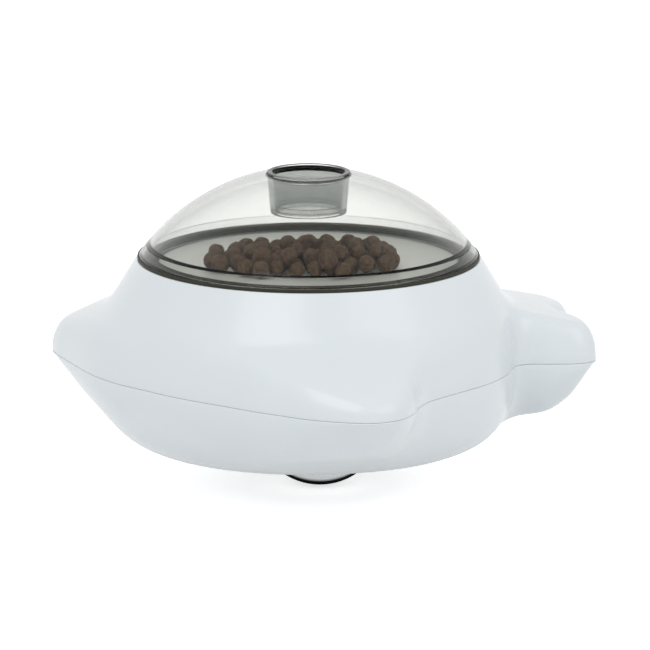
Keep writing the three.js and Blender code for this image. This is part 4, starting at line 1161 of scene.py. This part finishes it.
def screw_tree():
    """Pan-head screws with a cross recess on the points of a mesh. Side is 1 for shanks that point up."""
    tree, given, out = new_tree(
        "screw_set",
        [
            ("Head Radius", "NodeSocketFloat", 0.003),
            ("Head Height", "NodeSocketFloat", 0.002),
            ("Shank Radius", "NodeSocketFloat", 0.0015),
            ("Shank Length", "NodeSocketFloat", 0.01),
            ("Side", "NodeSocketFloat", 1.0),
        ],
    )

    def size(x, y, z):
        return add(tree, "ShaderNodeCombineXYZ", {"X": x, "Y": y, "Z": z}).outputs[0]

    def moved(mesh, height):
        move = {"Geometry": mesh, "Translation": size(0.0, 0.0, height)}
        return add(tree, "GeometryNodeTransform", move).outputs[0]

    def rod(vertices, radius, length):
        sizes = {"Vertices": vertices, "Radius": given[radius], "Depth": given[length]}
        return add(tree, "GeometryNodeMeshCylinder", sizes).outputs["Mesh"]

    head = rod(SCREW_HEAD_SIDES, "Head Radius", "Head Height")
    shank = rod(SCREW_SHANK_SIDES, "Shank Radius", "Shank Length")
    long_side = maths(tree, "MULTIPLY", given["Head Radius"], RECESS_LENGTH)
    short_side = maths(tree, "MULTIPLY", given["Head Radius"], RECESS_WIDTH)
    half_head = maths(tree, "MULTIPLY", given["Head Height"], 0.5)
    cut = add(tree, "GeometryNodeMeshBoolean", operation="DIFFERENCE")
    tree.links.new(moved(head, maths(tree, "MULTIPLY", half_head, -1.0)), cut.inputs["Mesh 1"])
    for sides, drop in zip(((long_side, short_side), (short_side, long_side)), RECESS_DROPS):
        bar = add(tree, "GeometryNodeMeshCube", {"Size": size(*sides, given["Head Height"])})
        bar = moved(bar.outputs["Mesh"], maths(tree, "MULTIPLY", half_head, drop))
        tree.links.new(bar, cut.inputs["Mesh 2"])
    whole = add(tree, "GeometryNodeJoinGeometry")
    tree.links.new(cut.outputs["Mesh"], whole.inputs[0])
    shank = moved(shank, maths(tree, "MULTIPLY", given["Shank Length"], 0.5))
    tree.links.new(shank, whole.inputs[0])
    flip = maths(tree, "MULTIPLY", maths(tree, "SUBTRACT", 1.0, given["Side"]), math.pi / 2)
    real = repeated(tree, given["Geometry"], whole.outputs[0], Rotation=size(flip, 0.0, 0.0))
    return put_out(tree, real, given, out)


def spring_tree():
    """Round wire along a coil that starts at each point of a mesh"""
    tree, given, out = new_tree(
        "coil_spring",
        [
            ("Turns", "NodeSocketFloat", 4.0),
            ("Radius", "NodeSocketFloat", 0.012),
            ("Rise", "NodeSocketFloat", 0.0144),
            ("Wire Radius", "NodeSocketFloat", 0.0008),
        ],
    )
    coil = add(
        tree, "GeometryNodeCurveSpiral",
        {
            "Resolution": 48, "Rotations": given["Turns"], "Start Radius": given["Radius"],
            "End Radius": given["Radius"], "Height": given["Rise"],
        },
    )
    wire = add(tree, "GeometryNodeCurvePrimitiveCircle", {"Resolution": 14, "Radius": given["Wire Radius"]})
    tube = add(
        tree, "GeometryNodeCurveToMesh",
        {"Curve": coil.outputs[0], "Profile Curve": wire.outputs[0], "Fill Caps": True},
    )
    return put_out(tree, repeated(tree, given["Geometry"], tube.outputs["Mesh"]), given, out)


def build_spring():
    start = to_row([(0, 0, SPRING_SEAT + SPRING_WIRE_RADIUS)], ROLLER_AXIS)
    values = {
        "Turns": float(SPRING_TURNS), "Radius": SPRING_RADIUS * MILLIMETRE,
        "Rise": (SPRING_LENGTH - 2 * SPRING_WIRE_RADIUS) * MILLIMETRE,
        "Wire Radius": SPRING_WIRE_RADIUS * MILLIMETRE,
    }
    return from_nodes("spring_coil", start, spring_tree(), values, "steel")


def build_world(scene):
    """White for the camera and in reflections and glass, plain soft light for everything else"""
    scene.view_settings.view_transform = "Standard"
    world = bpy.data.worlds.new("studio")
    world.use_nodes = True
    tree = world.node_tree
    tree.nodes.clear()
    white = add(tree, "ShaderNodeBackground", {"Color": (1, 1, 1, 1), "Strength": 1.0})
    soft = add(tree, "ShaderNodeBackground", {"Color": SOFT_COLOUR, "Strength": SOFT_STRENGTH})
    ray = add(tree, "ShaderNodeLightPath").outputs
    seen = maths(tree, "MAXIMUM", ray["Is Camera Ray"], ray["Is Glossy Ray"])
    seen = maths(tree, "MAXIMUM", seen, ray["Is Transmission Ray"])
    mix = add(tree, "ShaderNodeMixShader", {0: seen, 1: soft.outputs[0], 2: white.outputs[0]})
    output = add(tree, "ShaderNodeOutputWorld")
    tree.links.new(mix.outputs[0], output.inputs["Surface"])
    scene.world = world


def build_floor(scene):
    """A floor that the camera sees white, with the object's shadow on it, and a painted shadow under the
    ball that only reflections see
    """
    mesh = bpy.data.meshes.new("floor")
    corners = [(-1, -1), (1, -1), (1, 1), (-1, 1)]
    mesh.from_pydata([(x * FLOOR_REACH, y * FLOOR_REACH, 0) for x, y in corners], [], [(0, 1, 2, 3)])
    floor = bpy.data.objects.new("floor", mesh)
    scene.collection.objects.link(floor)
    material = bpy.data.materials.new("pale_floor")
    material.use_nodes = True
    tree = material.node_tree
    shader = tree.nodes["Principled BSDF"]
    shader.inputs["Roughness"].default_value = 0.9
    shader.inputs["Specular IOR Level"].default_value = 0.0
    shader.inputs["Emission Color"].default_value = (1, 1, 1, 1)
    ray = add(tree, "ShaderNodeLightPath").outputs
    # Painted shadow: a dark disc on the floor under and behind the ball that only glossy rays see, so the
    # ball mirrors it as a thin dark edge, with pale floor inside that edge.
    place = add(tree, "ShaderNodeNewGeometry").outputs["Position"]
    middle = (ROLLER_AXIS[0], ROLLER_AXIS[1] + PAINTED_SHADOW_SHIFT, 0)
    reach = add(tree, "ShaderNodeVectorMath", {0: place, 1: middle}, operation="DISTANCE")
    pale = ramp(tree, reach.outputs["Value"], *PAINTED_SHADOW_EDGE)
    dark = maths(tree, "MULTIPLY", maths(tree, "SUBTRACT", 1.0, pale), ray["Is Glossy Ray"])
    tree.links.new(blended(tree, dark, PALE_GROUND, PAINTED_SHADOW_COLOUR), shader.inputs["Base Color"])
    # the painted shadow also takes the floor's glow out of reflections
    mirrored = maths(tree, "MULTIPLY", maths(tree, "MULTIPLY", ray["Is Glossy Ray"], pale), MIRRORED_SHARE)
    seen = maths(tree, "MAXIMUM", ray["Is Camera Ray"], mirrored)
    seen = maths(tree, "MAXIMUM", seen, ray["Is Transmission Ray"])
    tree.links.new(maths(tree, "MULTIPLY", seen, FLOOR_GLOW), shader.inputs["Emission Strength"])
    floor.data.materials.append(material)


def place_lamps(scene):
    centre = Vector((AXIS[0], AXIS[1], LAMP_AIM_HEIGHT))
    for name, place, energy in LAMPS:
        data = bpy.data.lights.new(name, "AREA")
        data.shape = "RECTANGLE"
        data.size = data.size_y = LAMP_SIZE
        data.energy = energy
        light = bpy.data.objects.new(name, data)
        light.location = place
        light.rotation_euler = (centre - Vector(place)).to_track_quat("-Z", "Y").to_euler()
        scene.collection.objects.link(light)


def place_camera(scene):
    data = bpy.data.cameras.new("camera")
    data.sensor_width = CAMERA_SENSOR
    data.lens = CAMERA_LENS
    data.clip_end = CAMERA_CLIP_END
    camera = bpy.data.objects.new("camera", data)
    tilt = math.radians(CAMERA_ELEVATION)
    back = Vector((0, -math.cos(tilt), math.sin(tilt)))
    camera.location = Vector(CAMERA_TARGET) + back * CAMERA_DISTANCE
    camera.rotation_euler = (math.pi / 2 - tilt, 0, 0)
    scene.collection.objects.link(camera)
    scene.camera = camera


class LAUNCHER_OT_finishes(bpy.types.Operator):
    """Make the materials and give them to the CAD pieces that stay"""

    bl_idname = "launcher.finishes"
    bl_label = "Finishes"

    def execute(self, context):
        build_finishes()
        slots = {part["node"]: part["material_slot"] for part in frame["record"]["subparts"]}
        for name, node in frame["nodes"].items():
            node.data.materials.clear()
            node.data.materials.append(FINISHES[slots[name]])
        return {"FINISHED"}


class LAUNCHER_OT_shells(bpy.types.Operator):
    """Build the two moulded shells"""

    bl_idname = "launcher.shells"
    bl_label = "Shells"

    def execute(self, context):
        top, bottom = build_shells()
        finish_piece(top, "housing", "shell", ["upper_shell"])
        finish_piece(bottom, "housing", "shell", ["lower_shell"])
        return {"FINISHED"}


class LAUNCHER_OT_dome(bpy.types.Operator):
    """Build the smoked dome with its foot ring and gasket"""

    bl_idname = "launcher.dome"
    bl_label = "Dome"

    def execute(self, context):
        finish_piece(build_dome(), "lid", "smoked", ["dome"])
        levels = np.linspace(RING_BOTTOM, DOME_BOTTOM - SEEN_GAP, RING_LEVELS)
        edge = [(sphere_reach(BODY_RADIUS, height), height) for height in levels]
        ring = edge + [(reach - DOME_WALL, height) for reach, height in edge[::-1]]
        foot_ring = turned("foot_ring", rounded(ring, SEEN_GAP), AXIS)
        finish_piece(foot_ring, "lid", "smoked", ["dome_ring"], "ring")
        outer, lip = RIM_RADIUS - GASKET_INSET, LEDGE_INNER_RADIUS - GAP
        lip_inside, lip_bottom = lip - GASKET_LIP_WALL, RIM_HEIGHT - GASKET_LIP_DROP
        bottom, top = RIM_HEIGHT + SEEN_GAP, RING_BOTTOM - SEEN_GAP
        seal = [
            (lip_inside, lip_bottom), (lip, lip_bottom), (lip, bottom), (outer, bottom), (outer, top),
            (lip_inside, top),
        ]
        gasket = turned("foot_gasket", rounded(seal, MOULDED_EDGE), AXIS)
        finish_piece(gasket, "housing", "rubber", ["dome_gasket"])
        return {"FINISHED"}


class LAUNCHER_OT_tube(bpy.types.Operator):
    """Build the filler tube and the ring at its lower end"""

    bl_idname = "launcher.tube"
    bl_label = "Tube"

    def execute(self, context):
        taper = (TUBE_END_RADIUS - TUBE_TOP_RADIUS) * (
            (TUBE_TOP - TUBE_BOTTOM) / (TUBE_TOP - END_RING_BOTTOM)
        )
        foot = TUBE_TOP_RADIUS + taper
        section = [
            (foot - TUBE_WALL, TUBE_BOTTOM), (foot, TUBE_BOTTOM), (TUBE_TOP_RADIUS, TUBE_TOP),
            (TUBE_TOP_RADIUS - TUBE_WALL, TUBE_TOP),
        ]
        tube = turned("tube", rounded(section, MOULDED_EDGE), AXIS)
        finish_piece(tube, "lid", "smoked", ["filler_tube"], "tube")
        collar = TUBE_END_RADIUS - TUBE_WALL - GAP
        plate = END_RING_BOTTOM + END_RING_PLATE
        ring = [
            (END_RING_BORE, END_RING_BOTTOM), (TUBE_END_RADIUS, END_RING_BOTTOM),
            (TUBE_END_RADIUS, plate), (collar, plate), (collar, plate + END_RING_COLLAR),
            (END_RING_BORE, plate + END_RING_COLLAR),
        ]
        end_ring = turned("tube_foot", rounded(ring, MOULDED_EDGE), AXIS)
        finish_piece(end_ring, "lid", "smoked", ["tube_end_ring"])
        return {"FINISHED"}


class LAUNCHER_OT_tray(bpy.types.Operator):
    """Build the tray that carries the treats"""

    bl_idname = "launcher.tray"
    bl_label = "Tray"

    def execute(self, context):
        slope = math.atan2(TRAY_DEPTH, TRAY_SLOPE_RUN)
        section = [
            (0, TRAY_FLOOR_HEIGHT), (TRAY_FLOOR_RADIUS, TRAY_FLOOR_HEIGHT),
            (TRAY_RIM_RADIUS - TRAY_WALL, TRAY_RIM_HEIGHT), (TRAY_RIM_RADIUS, TRAY_RIM_HEIGHT),
            (TRAY_RIM_RADIUS, TRAY_RIM_HEIGHT - TRAY_WALL),
            (TRAY_FLOOR_RADIUS + TRAY_WALL * math.tan(slope / 2), TRAY_UNDERSIDE), (0, TRAY_UNDERSIDE),
        ]
        dish = turned("treat_dish", rounded(section, DISH_EDGE), AXIS)
        boss_top = TRAY_UNDERSIDE + TRAY_WALL / 2
        cut_with(dish, upright(TRAY_BOSS_RADIUS, TRAY_BOSS_BOTTOM, boss_top, ROD_PLACE), "UNION")
        bore_bottom, bore_top = TRAY_BOSS_BOTTOM - OVERSHOOT, TRAY_FLOOR_HEIGHT + OVERSHOOT
        cut_with(dish, upright(SCREW_SHANK_RADIUS + GAP, bore_bottom, bore_top, ROD_PLACE))
        finish_piece(dish, "plunger", "tray", ["launch_tray"])
        return {"FINISHED"}


class LAUNCHER_OT_treats(bpy.types.Operator):
    """Build the heap of treats on the tray"""

    bl_idname = "launcher.treats"
    bl_label = "Treats"

    def execute(self, context):
        finish_piece(build_treats(), "plunger", "treat", ["treats"])
        return {"FINISHED"}


class LAUNCHER_OT_ball(bpy.types.Operator):
    """Build the roller ball, its cup and the ring that holds it"""

    bl_idname = "launcher.ball"
    bl_label = "Roller ball"

    def execute(self, context):
        half_circle = arc(BALL_RADIUS, 0, 180, BALL_ARC_STEPS, -ROLLER_DROP)
        half_circle[0] = (0, BALL_RADIUS - ROLLER_DROP)
        half_circle[-1] = (0, -BALL_RADIUS - ROLLER_DROP)
        ball = turned("roller", half_circle, ROLLER_AXIS)
        finish_piece(ball, "ball", "polished_steel", ["roller_ball"])
        ring = turned("ball_retainer", rounded(retainer_section(), TURNED_EDGE), ROLLER_AXIS)
        finish_piece(ring, "plunger", "grey_plastic", ["retainer_ring"])
        cup = turned("ball_socket", rounded(cup_section(), TURNED_EDGE), ROLLER_AXIS)
        boss_top = CUP_TOP + CUP_BOSS_HEIGHT
        bottom = boss_top - ROD_SOCKET_DEPTH - GAP
        cut_with(cup, upright(ROD_RADIUS + GAP, bottom, boss_top + OVERSHOOT, ROD_PLACE))
        finish_piece(cup, "plunger", "grey_plastic", ["ball_cup"])
        return {"FINISHED"}


class LAUNCHER_OT_fasteners(bpy.types.Operator):
    """Build the screws and the spring"""

    bl_idname = "launcher.fasteners"
    bl_label = "Screws and spring"

    def execute(self, context):
        tree = screw_tree()
        corners, lugs, short = shell_screw_places(), barrel_screw_places(), SHORT_SCREW_LENGTH
        tray_seat = TRAY_FLOOR_HEIGHT + GAP
        kinds = [
            ("shell_screws", "shell_screw", "housing", corners, SCREW_SEAT, SHELL_SCREW_LENGTH, 1.0),
            ("barrel_screws", "barrel_screw", "housing", lugs, SCREW_SEAT, short, 1.0),
            ("cap_screws", "cap_screw", "housing", lugs, CAP_TOP + GAP, short, -1.0),
            ("dish_screw", "tray_screw", "plunger", [ROD_PLACE], tray_seat, TRAY_SCREW_LENGTH, -1.0),
        ]
        for name, stem, body, places, seat, length, side in kinds:
            points = to_row([(x, y, seat) for x, y, _ in places], AXIS)
            values = {
                "Head Radius": SCREW_HEAD_RADIUS * MILLIMETRE,
                "Head Height": SCREW_HEAD_HEIGHT * MILLIMETRE,
                "Shank Radius": SCREW_SHANK_RADIUS * MILLIMETRE,
                "Shank Length": length * MILLIMETRE,
                "Side": side,
            }
            screws = from_nodes(name, points, tree, values, "steel")
            nodes = [f"{stem}_{i + 1}" for i in range(len(places))] if len(places) > 1 else [stem]
            finish_piece(screws, body, "steel", nodes)
        spring = build_spring()
        finish_piece(spring, "housing", "steel", ["return_spring"])
        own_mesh(spring)
        return {"FINISHED"}


class LAUNCHER_OT_stage(bpy.types.Operator):
    """Build the floor, the lights and the camera"""

    bl_idname = "launcher.stage"
    bl_label = "Stage"

    def execute(self, context):
        build_world(context.scene)
        build_floor(context.scene)
        place_lamps(context.scene)
        place_camera(context.scene)
        return {"FINISHED"}


OPERATORS = [
    LAUNCHER_OT_finishes,
    LAUNCHER_OT_shells,
    LAUNCHER_OT_dome,
    LAUNCHER_OT_tube,
    LAUNCHER_OT_tray,
    LAUNCHER_OT_treats,
    LAUNCHER_OT_ball,
    LAUNCHER_OT_fasteners,
    LAUNCHER_OT_stage,
]


class LAUNCHER_PT_panel(bpy.types.Panel):
    """Lists the launcher's pieces"""

    bl_idname = "LAUNCHER_PT_panel"
    bl_label = "Treat launcher"
    bl_space_type = "VIEW_3D"
    bl_region_type = "UI"
    bl_category = "Launcher"

    def draw(self, context):
        for group in (context.scene.launcher_shape, context.scene.launcher_finish):
            for name in group.__annotations__:
                self.layout.prop(group, name)
        for operator in OPERATORS:
            self.layout.operator(operator.bl_idname)


CLASSES = [LauncherShape, LauncherFinish, *OPERATORS, LAUNCHER_PT_panel]


def register():
    for cls in CLASSES:
        bpy.utils.register_class(cls)
    bpy.types.Scene.launcher_shape = PointerProperty(type=LauncherShape)
    bpy.types.Scene.launcher_finish = PointerProperty(type=LauncherFinish)


def unregister():
    del bpy.types.Scene.launcher_finish
    del bpy.types.Scene.launcher_shape
    for cls in reversed(CLASSES):
        bpy.utils.unregister_class(cls)


def main():
    register()
    bpy.ops.launcher.finishes()
    bpy.ops.launcher.shells()
    bpy.ops.launcher.dome()
    bpy.ops.launcher.tube()
    bpy.ops.launcher.tray()
    bpy.ops.launcher.treats()
    bpy.ops.launcher.ball()
    bpy.ops.launcher.fasteners()
    bpy.ops.launcher.stage()


if __name__ == "__main__":
    main()
